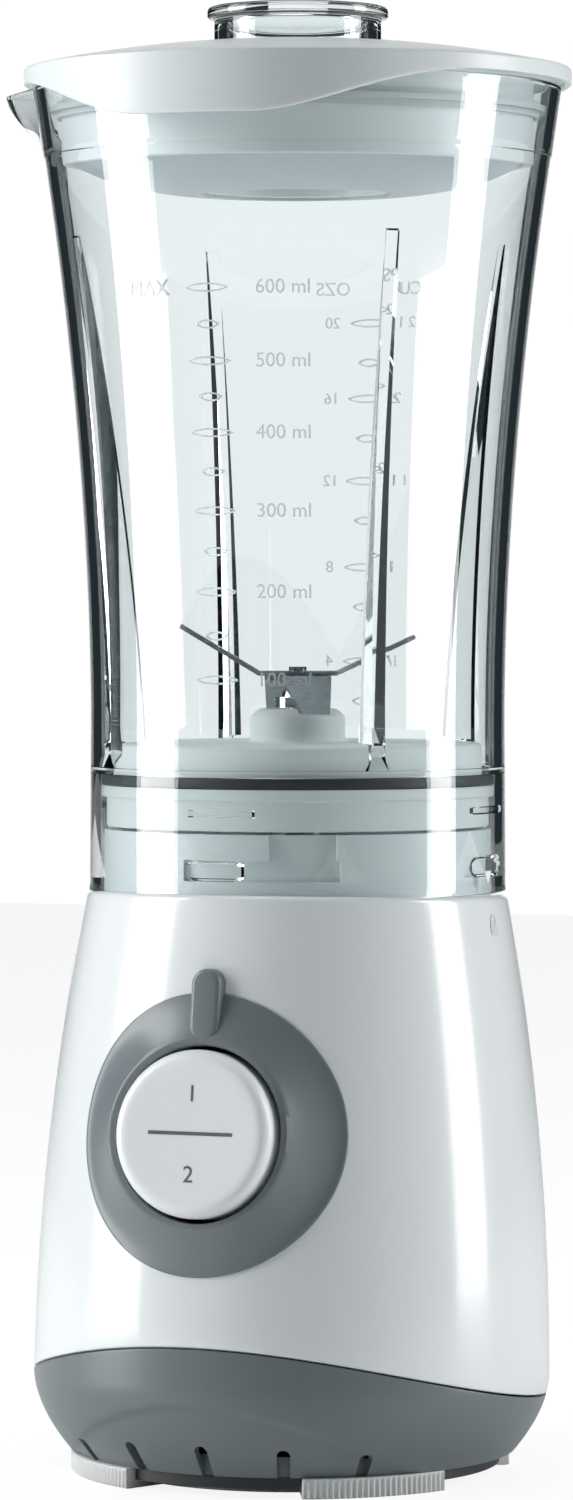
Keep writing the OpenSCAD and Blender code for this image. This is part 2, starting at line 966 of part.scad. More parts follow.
module lower_bearing() {
    bearing(lower_bearing_z);
}

module upper_bearing() {
    bearing(upper_bearing_z);
}

module stator_bolts() {
    color("silver")
        for (y = [-1, 1])
            translate([0, y * stator_bolt_at, mount_z]) {
                translate([0, 0, -mount_z + stack_z - 10])
                    cylinder(r = stator_bolt_r, h = mount_z - stack_z + 10);
                cylinder(r = 2.8, h = 2);
            }
}

module motor_mounts() {
    color("#282828")
        around(mount_count, mount_phi)
            translate([0, -mount_r, 0])
                tube(mount_boss_r + 0.8, screw_r + 0.1, mount_z, mount_h);
}

module mount_screws() {
    color("silver")
        around(mount_count, mount_phi)
            translate([0, -mount_r, arm_z])
                screw(screw_head_r + 0.6, screw_head_h, screw_r, 16);
}

module brush_holders() {
    color("goldenrod")
        for (side = [0, 180])
            rotate([0, 0, side])
                translate([brush_x + 3, 0, brush_z])
                    difference() {
                        translate([0, -brush_w / 2 - 1, -brush_h / 2 - 1])
                            cube([16, brush_w + 2, brush_h + 2]);
                        translate([-1, -brush_w / 2, -brush_h / 2])
                            cube([16, brush_w, brush_h]);
                    }
}

module carbon_brushes() {
    color("#1c1c1c")
        for (side = [0, 180])
            rotate([0, 0, side])
                translate([brush_x, -brush_w / 2, brush_z - brush_h / 2])
                    cube([brush_len, brush_w, brush_h]);
}

module brush_springs() {
    color("silver")
        for (side = [0, 180])
            rotate([0, 0, side])
                translate([brush_x + brush_len, 0, brush_z])
                    rotate([0, 90, 0])
                        coil_spring(1.9, 0.3, 3, 4);
}

// A round-wire coil along +Z, between its two ends' outer faces
module coil_spring(r, wire, turns, length) {
    sides = 6;
    steps = 14 * turns;
    rise = length - 2 * wire - 0.1;
    points = [for (i = [0 : steps], j = [0 : sides - 1])
        let (a = 360 * turns * i / steps, b = 360 * j / sides, reach = r + wire * cos(b))
        [reach * cos(a), reach * sin(a),
         wire + 0.05 + rise * i / steps + wire * sin(b)]];
    polyhedron(points, concat(
        [[for (j = [0 : sides - 1]) j]],
        [for (i = [0 : steps - 1], j = [0 : sides - 1])
            let (a = i * sides + j, b = i * sides + (j + 1) % sides)
            each [[a, a + sides, b + sides], [a, b + sides, b]]],
        [[for (j = [sides - 1 : -1 : 0]) steps * sides + j]]));
}

module motor_shaft() {
    color("silver") {
        disc(shaft_r, fan_z - 2, drive_plate_z + 6 - fan_z + 2);
        disc(shaft_r - 1, fan_z - 5, 3.5);
    }
}

module armature_core() {
    slots = 12;
    color("gray")
        translate([0, 0, stack_z])
            linear_extrude(stack_h)
                difference() {
                    circle(r = armature_r);
                    circle(r = shaft_r);
                    for (i = [0 : slots - 1])
                        rotate(i * 360 / slots) {
                            translate([armature_r - 3.6, 0])
                                circle(r = 1.5, $fn = 24);
                            translate([armature_r - 3.6, -0.5])
                                square([5, 1]);
                        }
                }
}

module armature_winding() {
    color("peru")
        for (z = [stack_z - 5.5, stack_top_z])
            translate([0, 0, z])
                rotate_extrude()
                    polygon([[shaft_r, 0], [winding_r - 2, 0], [winding_r, 1.5],
                             [winding_r, 4], [winding_r - 2, 5.5], [shaft_r, 5.5]]);
}

module commutator() {
    color("#b87333") {
        tube(commutator_r, shaft_r, commutator_z, commutator_h);
        tube(commutator_r + 1.2, shaft_r, commutator_z + commutator_h, 1.5);
    }
}

module cooling_fan() {
    color("ivory") {
        tube(9, shaft_r, fan_z - 0.5, fan_h + 0.8);
        tube(fan_r, 8, fan_z + fan_h - 1.4, 1.4);
        for (i = [0 : fan_blades - 1])
            rotate([0, 0, 7 + i * 360 / fan_blades])
                translate([8, -0.7, fan_z])
                    cube([fan_r - 8.6, 1.4, fan_h - 1]);
    }
}

module fan_baffle() {
    r = floor_hole_r + 3.2;
    low = cover_z + cover_floor_t;
    top = fan_z + fan_h + 1.5;
    color("darkslategray")
        difference() {
            union() {
                tube(r + 1.6, r, low, top - low + 1.6);
                tube(r + 1.6, 18, top, 1.6);
            }
            for (phi = [0 : 45 : 315])
                arc_block(r - 2, r + 3, low + 2.5, top - low - 5, phi + 22.5, 24);
        }
}

module drive_dogs(z) {
    for (i = [0 : dog_count - 1])
        arc_block(dog_in_r, dog_out_r, z, dog_h, i * 360 / dog_count, dog_width);
}

module drive_coupling() {
    color("#2b2b2b")
        difference() {
            union() {
                disc(coupling_r, drive_plate_z, drive_plate_t);
                disc(dog_in_r - 2, drive_plate_z, drive_plate_t + dog_h - 0.6);
                drive_dogs(drive_plate_z + drive_plate_t - eps);
            }
            disc(shaft_r, 0, drive_plate_z + 6);
        }
}

seal_seat_r = shaft_r + 4;
seal_screw_at = seal_seat_r + 5.5;
seal_screw_r = 1.2;

module deck_seal() {
    color("#303030")
        difference() {
            union() {
                tube(seal_seat_r, shaft_r + moving_gap, deck_z, deck_t);
                tube(seal_screw_at + 3, shaft_r + moving_gap, deck_z - 1.6, 1.6);
            }
            around(3, 0)
                translate([0, -seal_screw_at, deck_z - 3])
                    cylinder(r = seal_screw_r, h = 5);
        }
}

module collar_screws() {
    color("silver")
        around(3, 0)
            translate([0, -seal_screw_at, deck_z - 1.6])
                screw(2.2, 1.4, seal_screw_r, 3.6);
}

// ---- base: cord outlet ----

module cord_bush() {
    color("#252525")
        translate([0, cord_wall_y + 1.65, cord_z])
            rotate([90, 0, 0])
                difference() {
                    union() {
                        cylinder(r = bush_neck_r, h = bush_len);
                        cylinder(r = bush_collar_r, h = 1.6);
                        translate([0, 0, housing_wall + 4])
                            cylinder(r = bush_collar_r, h = bush_len - housing_wall - 4);
                    }
                    translate([0, 0, -1])
                        cylinder(r = cord_r, h = bush_len + 2);
                }
}

module clamp_places() {
    for (x = [-clamp_at, clamp_at])
        translate([x, clamp_y, 0])
            children();
}

module cord_clamp() {
    color("dimgray")
        difference() {
            translate([-clamp_at - 3.4, clamp_y - clamp_w / 2, clamp_z])
                cube([2 * clamp_at + 6.8, clamp_w, clamp_t]);
            clamp_places()
                translate([0, 0, clamp_z - 1])
                    cylinder(r = screw_r + 0.1, h = clamp_t + 2);
        }
}

module clamp_screws() {
    color("silver")
        clamp_places()
            translate([0, 0, clamp_z])
                screw(2.2, 1.5, screw_r, clamp_t + 5);
}

// ---- blade unit ----

module blade_base() {
    hub_low_z = driven_plate_z + driven_plate_t + 1.6;
    pocket_z = hub_top_z - seal_h - 1;
    shell_in_r = disc_r - 2.4;
    skirt_out_r = keeper_r - moving_gap;
    flange_r = skirt_in_r - moving_gap;
    flange_z = gasket_z - 2.4;
    lug_low_z = keeper_z + keeper_h + 0.2;
    color([0.85, 0.9, 0.9, 0.8]) {
        rotate_extrude()
            polygon([[bush_r, hub_low_z], [hub_low_r, hub_low_z],
                     [hub_low_r, disc_z - disc_t], [shell_in_r, disc_z - disc_t],
                     [shell_in_r, blade_skirt_z], [skirt_out_r, blade_skirt_z],
                     [skirt_out_r, flange_z], [flange_r, flange_z], [flange_r, gasket_z],
                     [disc_r, gasket_z], [disc_r, disc_z], [hub_r, disc_z],
                     [hub_r, hub_top_z - 2], [hub_r - 1.8, hub_top_z], [seal_r, hub_top_z],
                     [seal_r, pocket_z], [bush_r, pocket_z]]);
        for (i = [0 : jug_lugs - 1])
            arc_block(disc_r - 1, flange_r - 0.1, lug_low_z, flange_z - lug_low_z + 1,
                      i * 360 / jug_lugs, lug_width);
        around(6, 15)
            translate([-0.9, -disc_r + 1, hub_low_z + 3])
                cube([1.8, disc_r - 8, disc_z - disc_t - hub_low_z - 2.5]);
    }
}

module base_gasket() {
    color("#1e2a33")
        tube(skirt_in_r - moving_gap, disc_r, gasket_z, gasket_h);
}

module shaft_bush() {
    color("darkgoldenrod")
        tube(bush_r, blade_shaft_r + running, bush_z, bush_h);
}

module shaft_seal() {
    color("#202020")
        tube(seal_r, blade_shaft_r + moving_gap, hub_top_z - seal_h - 1, seal_h);
}

module blade_shaft() {
    color("silver") {
        disc(blade_shaft_r, driven_plate_z - 1, hub_top_z - driven_plate_z + 1);
        disc(blade_shaft_r - 1, hub_top_z - eps, blade_z - hub_top_z + eps);
    }
}

module driven_coupling() {
    color("#2b2b2b")
        difference() {
            union() {
                disc(coupling_r, driven_plate_z, driven_plate_t);
                rotate([0, 0, dog_phase])
                    drive_dogs(driven_plate_z - dog_h + eps);
            }
            disc(blade_shaft_r, driven_plate_z - 2, driven_plate_t + 4);
        }
}

module thrust_washer() {
    color("silver")
        tube(blade_shaft_r + 3, blade_shaft_r, driven_plate_z + driven_plate_t, 1);
}

blade_z = hub_top_z + 6.1;
spacer_z = hub_top_z + 0.3;

module blade_spacer() {
    color("silver")
        difference() {
            union() {
                disc(4.9, spacer_z, 2.2);
                translate([0, 0, spacer_z + 2.2 - eps])
                    cylinder(r1 = 3.6, r2 = 2.3, h = blade_z - spacer_z - 2.2 + eps);
            }
            disc(blade_shaft_r - 1, 0, blade_z + 1);
        }
}

// A two-armed blade: its side view, bent at the root, cut to its outline from above
module bent_blade(phi, root, reach, root_w, tip_w, far_bend, near_bend) {
    far_z = (reach - root) * tan(far_bend);
    near_z = (reach - root) * tan(near_bend);
    side = [[-reach, near_z], [-root, 0], [root, 0], [reach, far_z],
            [reach - blade_t * sin(far_bend), far_z + blade_t * cos(far_bend)],
            [root - blade_t * tan(far_bend / 2), blade_t],
            [-root + blade_t * tan(near_bend / 2), blade_t],
            [-reach + blade_t * sin(near_bend), near_z + blade_t * cos(near_bend)]];
    far = reach + 2;
    outline = [[-far, -tip_w / 2], [-root, -root_w / 2], [root, -root_w / 2],
               [far, -tip_w / 2], [far, tip_w / 2], [root, root_w / 2],
               [-root, root_w / 2], [-far, tip_w / 2]];
    rotate([0, 0, phi - 90])
        difference() {
            intersection() {
                rotate([90, 0, 0])
                    translate([0, 0, -root_w])
                        linear_extrude(2 * root_w)
                            polygon(side);
                translate([0, 0, -reach])
                    linear_extrude(2 * reach)
                        polygon(outline);
            }
            translate([0, 0, -1])
                cylinder(r = 1.1, h = 4);
        }
}

module lower_blade() {
    color("#8a8f94")
        translate([0, 0, blade_z])
            bent_blade(34, 8.6, 17.6, 11, 5.5, -38, -38);
}

module upper_blade() {
    color("#9aa0a5")
        translate([0, 0, blade_z + blade_t])
            bent_blade(112, 8.4, blade_reach, 9, 4, 25, 31);
}

module blade_screw() {
    color("silver") {
        disc(1.9, blade_z + 2 * blade_t, 0.9);
        disc(1.1, blade_z, 2 * blade_t + eps);
    }
}

// ---- jug ----

module jug() {
    color([0.8, 0.88, 0.9, 0.35])
        difference() {
            union() {
                rotate_extrude()
                    jug_section();
                intersection() {
                    rotate_extrude()
                        jug_outline(0.8);
                    for (i = [0 : 3])
                        rotate([0, 0, rib_phi + 90 * i])
                            jug_rib();
                }
                for (i = [0 : jug_lugs - 1]) {
                    turn = i * 360 / jug_lugs;
                    arc_block(lug_in_r, skirt_in_r + 0.5, lug_z, lug_h,
                              lug_phi + turn, lug_width);
                    arc_block(keeper_r, skirt_in_r + 0.5, keeper_z, keeper_h, turn,
                              lug_width);
                }
                difference() {
                    spout(0);
                    rotate_extrude()
                        jug_inside();
                }
            }
            spout(jug_wall);
        }
}

// The wall as a closed outline: outside upwards, inside downwards
module jug_section() {
    difference() {
        jug_outline(0);
        jug_inside();
    }
}

module jug_outline(inset) {
    polygon(concat([[0, skirt_z]], [[skirt_r - inset, skirt_z]],
        [for (i = [0 : jug_steps]) let (z = flare_z + (jug_top_z - flare_z) * i / jug_steps)
            [jug_radius(z) - inset, z]],
        [[0, jug_top_z]]));
}

module jug_inside() {
    top = jug_top_z + 1;
    polygon(concat(
        [[0, skirt_z - 1], [skirt_in_r, skirt_z - 1], [skirt_in_r, ledge_z],
         [ledge_r, ledge_z], [ledge_r, ledge_z + ledge_h]],
        [for (i = [0 : jug_steps]) let (z = flare_z + (top - flare_z) * i / jug_steps)
            [jug_radius(z) - jug_wall, z]],
        [[0, top]]));
}

// An upright rib that runs out towards its top and clears the blade base at its foot
module jug_rib() {
    foot_r = jug_radius(flare_z) - jug_wall - rib_foot_depth;
    steps = 8;
    rotate([90, 0, -90])
        translate([0, 0, -rib_w / 2])
            linear_extrude(rib_w)
                polygon(concat(
                    [[base_r * 2, ledge_z], [foot_r, ledge_z], [foot_r, rib_foot_z]],
                    [for (i = [0 : steps]) let (t = i / steps,
                        z = rib_foot_z + (rib_top_z - rib_foot_z) * t)
                        [jug_radius(max(z, flare_z)) - jug_wall
                            - rib_depth * (1 - t) - 0.3, z]],
                    [[base_r * 2, rib_top_z]]));
}

// The pouring lip: a wedge from the wall out to the tip, taken in by an inset
module spout(inset) {
    half = 24;
    top = jug_top_z + (inset > 0 ? 1 : 0);
    wall_r = rim_r - inset - 0.4;
    low_z = jug_top_z - spout_h + inset;
    low_r = jug_radius(low_z) - inset - 0.3;
    hull() {
        translate([0, 0, top - 0.5])
            linear_extrude(0.5) {
                translate([-(spout_r - inset) + 2, 0])
                    circle(r = 2, $fn = 32);
                for (side = [-1, 1])
                    polygon([[-wall_r * cos(half), side * wall_r * sin(half)],
                             [-wall_r * cos(half) + 3, side * wall_r * sin(half)],
                             [-wall_r * cos(half) + 3, side * (wall_r * sin(half) - 2)]]);
            }
        translate([-low_r, 0, low_z])
            rotate([0, 90, 0])
                cylinder(r = 0.5, h = 2, $fn = 32);
    }
}

// ---- lid ----

module lid() {
    color("white")
        difference() {
            union() {
                rotate_extrude()
                    lid_section();
                tube(plug_r, plug_in_r, plug_z, lid_low_z - plug_z + 1);
                tube(filler_r, filler_in_r, filler_z, dome_z(filler_r) - filler_z - 1);
                tube(filler_r, cap_r - cap_wall - 0.8, filler_z, cap_low_z - filler_z - 0.1);
                intersection() {
                    tube(lid_r, apron_in_r, apron_low_z, lid_low_z - apron_low_z + 1);
                    apron_outline();
                }
            }
            disc(filler_in_r, cap_low_z - 0.1, base_h * 3);
        }
}

module lid_section() {
    edge = 2;
    steps = 10;
    inner = lid_r - 4;
    polygon(concat(
        [[0, dome_z(0) - lid_wall], [0, dome_z(0)]],
        [for (i = [1 : steps]) let (r = (lid_r - edge) * i / steps) [r, dome_z(r)]],
        [[lid_r - 0.5, lid_edge_z - 0.9], [lid_r, lid_edge_z - 2], [lid_r, lid_low_z],
         [plug_in_r, lid_low_z], [plug_in_r, dome_z(plug_in_r) - lid_wall]],
        [for (i = [steps - 1 : -1 : 1]) let (r = plug_in_r * i / steps)
            [r, dome_z(r) - lid_wall]]));
}

// The front and back aprons, seen from the front: a wide low skirt with sloping ends
module apron_outline() {
    rotate([90, 0, 0])
        translate([0, 0, -2 * lid_r])
            linear_extrude(4 * lid_r)
                polygon([[-apron_wide, lid_low_z + 2], [-apron_wide, lid_low_z],
                         [-apron_half - 20, apron_low_z + 5.5],
                         [-apron_half - 10, apron_low_z + 2.2],
                         [-apron_half, apron_low_z + 0.2],
                         [apron_half, apron_low_z + 0.2],
                         [apron_half + 10, apron_low_z + 2.2],
                         [apron_half + 20, apron_low_z + 5.5],
                         [apron_wide, lid_low_z], [apron_wide, lid_low_z + 2]]);
}

module lid_liner() {
    out_r = plug_in_r;
    steps = 6;
    bowl = [for (i = [0 : steps]) let (t = i / steps,
        r = filler_r + (out_r - filler_r) * t)
        [r, plug_z - liner_drop * (1 - t * t)]];
    color("ghostwhite")
        rotate_extrude()
            polygon(concat(bowl,
                [[out_r, plug_z + liner_wall_h], [out_r - 1.4, plug_z + liner_wall_h]],
                [for (i = [steps : -1 : 0]) [min(bowl[i][0], out_r - 1.4),
                                             bowl[i][1] + liner_t]]));
}

module lid_seal() {
    color("lightgray")
        difference() {
            union() {
                tube(seal_out_r, plug_r, seal_z + 1.2, 1.2);
                tube(plug_r + 0.9, plug_r, seal_z, seal_band_h);
            }
        }
}

module filler_cap() {
    color([0.85, 0.92, 0.93, 0.4])
        difference() {
            union() {
                disc(cap_r, cap_low_z, cap_top_z - cap_low_z);
                disc(cap_flange_r, cap_top_z - cap_flange_h, cap_flange_h);
            }
            disc(cap_r - cap_wall, cap_low_z - 1, cap_top_z - cap_flange_h - cap_low_z + 1);
        }
}

function inlet_half(x) = sqrt(pow(floor_hole_r - 5, 2) - pow(abs(x) * 6 + 1.2, 2));

housing();
bayonet_collar();
lower_cover();
bottom_plate();
rubber_feet();
control_ring();
switch_frame();
pivot_pin();
speed_switches();
speed_board();
capacitor();
speed_diode();
frame_screws();
upper_bracket();
lower_bracket();
upper_bearing();
lower_bearing();
stator_core();
field_coils();
brush_holders();
carbon_brushes();
brush_springs();
motor_mounts();
mount_screws();
stator_bolts();
fan_baffle();
cord_bush();
cord_clamp();
clamp_screws();
base_screws();
collar_screws();
deck_seal();
motor_shaft();
armature_core();
armature_winding();
commutator();
cooling_fan();
drive_coupling();
button();
upper_plunger();
lower_plunger();
blade_base();
base_gasket();
shaft_bush();
shaft_seal();
blade_shaft();
driven_coupling();
thrust_washer();
blade_spacer();
lower_blade();
upper_blade();
blade_screw();
jug();
lid();
lid_liner();
lid_seal();
filler_cap();
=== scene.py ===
import bpy, bmesh
from math import sin, cos, pi, radians, degrees, sqrt, atan2
from mathutils import Vector, Matrix


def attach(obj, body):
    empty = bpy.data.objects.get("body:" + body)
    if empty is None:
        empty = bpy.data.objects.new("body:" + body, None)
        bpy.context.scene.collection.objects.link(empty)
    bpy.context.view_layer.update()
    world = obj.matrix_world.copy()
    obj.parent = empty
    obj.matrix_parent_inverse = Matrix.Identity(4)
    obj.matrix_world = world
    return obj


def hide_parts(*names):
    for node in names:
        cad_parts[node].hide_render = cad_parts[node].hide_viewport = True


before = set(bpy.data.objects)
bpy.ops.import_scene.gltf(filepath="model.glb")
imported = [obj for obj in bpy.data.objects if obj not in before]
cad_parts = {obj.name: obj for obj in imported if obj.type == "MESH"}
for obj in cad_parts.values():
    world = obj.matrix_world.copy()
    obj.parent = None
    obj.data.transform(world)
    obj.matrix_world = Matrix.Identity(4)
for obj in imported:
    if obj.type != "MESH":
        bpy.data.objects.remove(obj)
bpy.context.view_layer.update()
print("frame loaded")

mm = 0.001
fineSteps = 360      # columns round the jug, lid and base
plainSteps = 128     # columns round the smaller turned pieces
wallPassing = 0.92   # share of the light that a clear wall lets through to what is behind it

# Camera

view = dict(place=(0.4844, -1.1988, 0.1915), lens=144.6, tilt=88.337, turn=22.109)


def setCamera():
    data = bpy.data.cameras.new("camera")
    data.lens = view["lens"]
    data.sensor_width = 36
    data.sensor_fit = "AUTO"
    data.clip_start = 0.05
    camera = bpy.data.objects.new("camera", data)
    camera.location = view["place"]
    camera.rotation_euler = (radians(view["tilt"]), 0, radians(view["turn"]))
    bpy.context.scene.collection.objects.link(camera)
    bpy.context.scene.camera = camera


setCamera()
print("camera set")

# Node tools


def nodeGroup(name, inputs, outputs):
    group = bpy.data.node_groups.new(name, "ShaderNodeTree")
    for label, kind, value in inputs:
        socket = group.interface.new_socket(label, in_out="INPUT", socket_type="NodeSocket" + kind)
        socket.default_value = value
    for label, kind in outputs:
        group.interface.new_socket(label, in_out="OUTPUT", socket_type="NodeSocket" + kind)
    return group, group.nodes.new("NodeGroupInput"), group.nodes.new("NodeGroupOutput")


def addNode(tree, kind, **values):
    node = tree.nodes.new("ShaderNode" + kind)
    for key, value in values.items():
        if hasattr(node, key):
            setattr(node, key, value)
        else:
            node.inputs[key.replace("_", " ")].default_value = value
    return node


def mathNode(tree, operation, first, second):
    node = tree.nodes.new("ShaderNodeMath")
    node.operation = operation
    for slotIndex, value in enumerate((first, second)):
        if isinstance(value, (int, float)):
            node.inputs[slotIndex].default_value = value
        else:
            tree.links.new(value, node.inputs[slotIndex])
    return node.outputs[0]


def mixColour(tree, factor, first, second, blend="MIX"):
    node = tree.nodes.new("ShaderNodeMix")
    node.data_type = "RGBA"
    node.blend_type = blend
    for socket, value in ((node.inputs[0], factor), (node.inputs[6], first), (node.inputs[7], second)):
        if isinstance(value, (int, float, tuple)):
            socket.default_value = value
        else:
            tree.links.new(value, socket)
    return node.outputs[2]


# Shades the given colour by a share of a texture's swing about its middle
def shadeColour(group, given, made, texture, share):
    shade = mathNode(group, "SUBTRACT", texture.outputs["Fac"], 0.5)
    shade = mathNode(group, "MULTIPLY", shade, given.outputs[share])
    shade = mathNode(group, "ADD", shade, 1.0)
    tone = group.nodes.new("ShaderNodeVectorMath")
    tone.operation = "SCALE"
    group.links.new(given.outputs["Color"], tone.inputs[0])
    group.links.new(shade, tone.inputs["Scale"])
    group.links.new(tone.outputs[0], made.inputs["Color"])


def swingGloss(group, given, made, gloss, share):
    gloss = mathNode(group, "MULTIPLY", gloss, share)
    gloss = mathNode(group, "ADD", gloss, given.outputs["Roughness"])
    group.links.new(gloss, made.inputs["Roughness"])


def raiseTexture(group, given, made, texture, strength, distance):
    bump = addNode(group, "Bump", Distance=distance)
    group.links.new(given.outputs[strength], bump.inputs["Strength"])
    group.links.new(texture.outputs["Fac"], bump.inputs["Height"])
    group.links.new(bump.outputs["Normal"], made.inputs["Normal"])


# Moulded plastic: a fine grain, slow flow clouds in the colour and handling marks in the gloss
def makeMouldedSkin():
    group, given, made = nodeGroup(
        "mouldedSkin",
        [("Color", "Color", (0.8, 0.8, 0.8, 1)), ("Roughness", "Float", 0.3),
         ("Grain Scale", "Float", 1800.0), ("Grain", "Float", 0.1), ("Clouds", "Float", 0.03),
         ("Marks", "Float", 0.05)],
        [("Color", "Color"), ("Roughness", "Float"), ("Normal", "Vector")])
    place = addNode(group, "TexCoord").outputs["Object"]
    grain = addNode(group, "TexNoise", Detail=3.0, Roughness=0.6)
    group.links.new(place, grain.inputs["Vector"])
    group.links.new(given.outputs["Grain Scale"], grain.inputs["Scale"])
    cloud = addNode(group, "TexNoise", Scale=22.0, Detail=4.0, Roughness=0.55)
    group.links.new(place, cloud.inputs["Vector"])
    mark = addNode(group, "TexNoise", Scale=95.0, Detail=5.0, Roughness=0.65, Distortion=0.6)
    group.links.new(place, mark.inputs["Vector"])
    shadeColour(group, given, made, cloud, "Clouds")
    gloss = mathNode(group, "SUBTRACT", mark.outputs["Fac"], 0.5)
    swingGloss(group, given, made, gloss, given.outputs["Marks"])
    raiseTexture(group, given, made, grain, "Grain", 0.0001)
    return group


# Turned or ground metal: fine lines round the axis or along the height
def makeMetalLines():
    group, given, made = nodeGroup(
        "metalLines",
        [("Color", "Color", (0.6, 0.6, 0.6, 1)), ("Roughness", "Float", 0.3),
         ("Stretch", "Vector", (1.0, 1.0, 1.0)), ("Depth", "Float", 0.2), ("Stain", "Float", 0.1)],
        [("Color", "Color"), ("Roughness", "Float"), ("Normal", "Vector")])
    place = addNode(group, "TexCoord").outputs["Object"]
    stretch = group.nodes.new("ShaderNodeVectorMath")
    stretch.operation = "MULTIPLY"
    group.links.new(place, stretch.inputs[0])
    group.links.new(given.outputs["Stretch"], stretch.inputs[1])
    lines = addNode(group, "TexNoise", Scale=600.0, Detail=3.0, Roughness=0.6)
    group.links.new(stretch.outputs[0], lines.inputs["Vector"])
    stain = addNode(group, "TexNoise", Scale=130.0, Detail=4.0, Roughness=0.6)
    group.links.new(place, stain.inputs["Vector"])
    shadeColour(group, given, made, stain, "Stain")
    gloss = mathNode(group, "SUBTRACT", lines.outputs["Fac"], 0.5)
    swingGloss(group, given, made, gloss, 0.25)
    raiseTexture(group, given, made, lines, "Depth", 0.00005)
    return group


# Clear mouldings: very faint waves in the wall and a film of handling marks
def makeClearWall():
    group, given, made = nodeGroup(
        "clearWall",
        [("Roughness", "Float", 0.02), ("Waves", "Float", 0.05), ("Film", "Float", 0.03)],
        [("Roughness", "Float"), ("Normal", "Vector")])
    place = addNode(group, "TexCoord").outputs["Object"]
    wave = addNode(group, "TexNoise", Scale=28.0, Detail=2.0, Roughness=0.4)
    film = addNode(group, "TexNoise", Scale=60.0, Detail=6.0, Roughness=0.7, Distortion=0.8)
    for texture in (wave, film):
        group.links.new(place, texture.inputs["Vector"])
    gloss = mathNode(group, "SUBTRACT", film.outputs["Fac"], 0.45)
    gloss = mathNode(group, "MAXIMUM", gloss, 0.0)
    swingGloss(group, given, made, gloss, given.outputs["Film"])
    raiseTexture(group, given, made, wave, "Waves", 0.0006)
    return group


mouldedSkin, metalLines, clearWall = makeMouldedSkin(), makeMetalLines(), makeClearWall()


def newMaterial(name):
    material = bpy.data.materials.new(name)
    material.use_nodes = True
    tree = material.node_tree
    return material, tree, tree.nodes["Principled BSDF"]


def placeGroup(tree, group, values):
    node = tree.nodes.new("ShaderNodeGroup")
    node.node_tree = group
    for label, value in values.items():
        node.inputs[label].default_value = value
    return node


def linkSkin(tree, skin, shader, sockets):
    for output in skin.outputs:
        socket = "Base Color" if output.name == "Color" else output.name
        tree.links.new(output, shader.inputs[socket])
    for label, value in sockets.items():
        shader.inputs[label.replace("_", " ")].default_value = value


def plastic(name, colour, roughness, grain=0.1, scale=1800.0, clouds=0.03, marks=0.05, **sockets):
    material, tree, shader = newMaterial(name)
    skin = placeGroup(tree, mouldedSkin, {"Color": (*colour, 1), "Roughness": roughness, "Grain Scale": scale,
                                          "Grain": grain, "Clouds": clouds, "Marks": marks})
    linkSkin(tree, skin, shader, sockets)
    return material


def metal(name, colour, roughness, stretch=(1, 1, 1), depth=0.2, stain=0.1, **sockets):
    material, tree, shader = newMaterial(name)
    skin = placeGroup(tree, metalLines, {"Color": (*colour, 1), "Roughness": roughness, "Stretch": stretch,
                                         "Depth": depth, "Stain": stain})
    linkSkin(tree, skin, shader, sockets)
    shader.inputs["Metallic"].default_value = 1.0
    return material


def clear(name, colour, roughness=0.0, waves=0.05, film=0.03, transmission=1.0, **sockets):
    material, tree, shader = newMaterial(name)
    skin = placeGroup(tree, clearWall, {"Roughness": roughness, "Waves": waves, "Film": film})
    linkSkin(tree, skin, shader, sockets)
    shader.inputs["Base Color"].default_value = (*colour, 1)
    shader.inputs["Transmission Weight"].default_value = transmission
    rays = tree.nodes.new("ShaderNodeLightPath")      # lamps reach what stands behind the wall
    passing = mathNode(tree, "MAXIMUM", rays.outputs["Is Shadow Ray"], rays.outputs["Is Diffuse Ray"])
    passing = mathNode(tree, "MULTIPLY", passing, wallPassing * transmission)
    through = addNode(tree, "BsdfTransparent", Color=(*[0.5 + 0.5 * part for part in colour], 1))
    mix = tree.nodes.new("ShaderNodeMixShader")
    tree.links.new(passing, mix.inputs[0])
    tree.links.new(shader.outputs[0], mix.inputs[1])
    tree.links.new(through.outputs[0], mix.inputs[2])
    tree.links.new(mix.outputs[0], tree.nodes["Material Output"].inputs["Surface"])
    return material


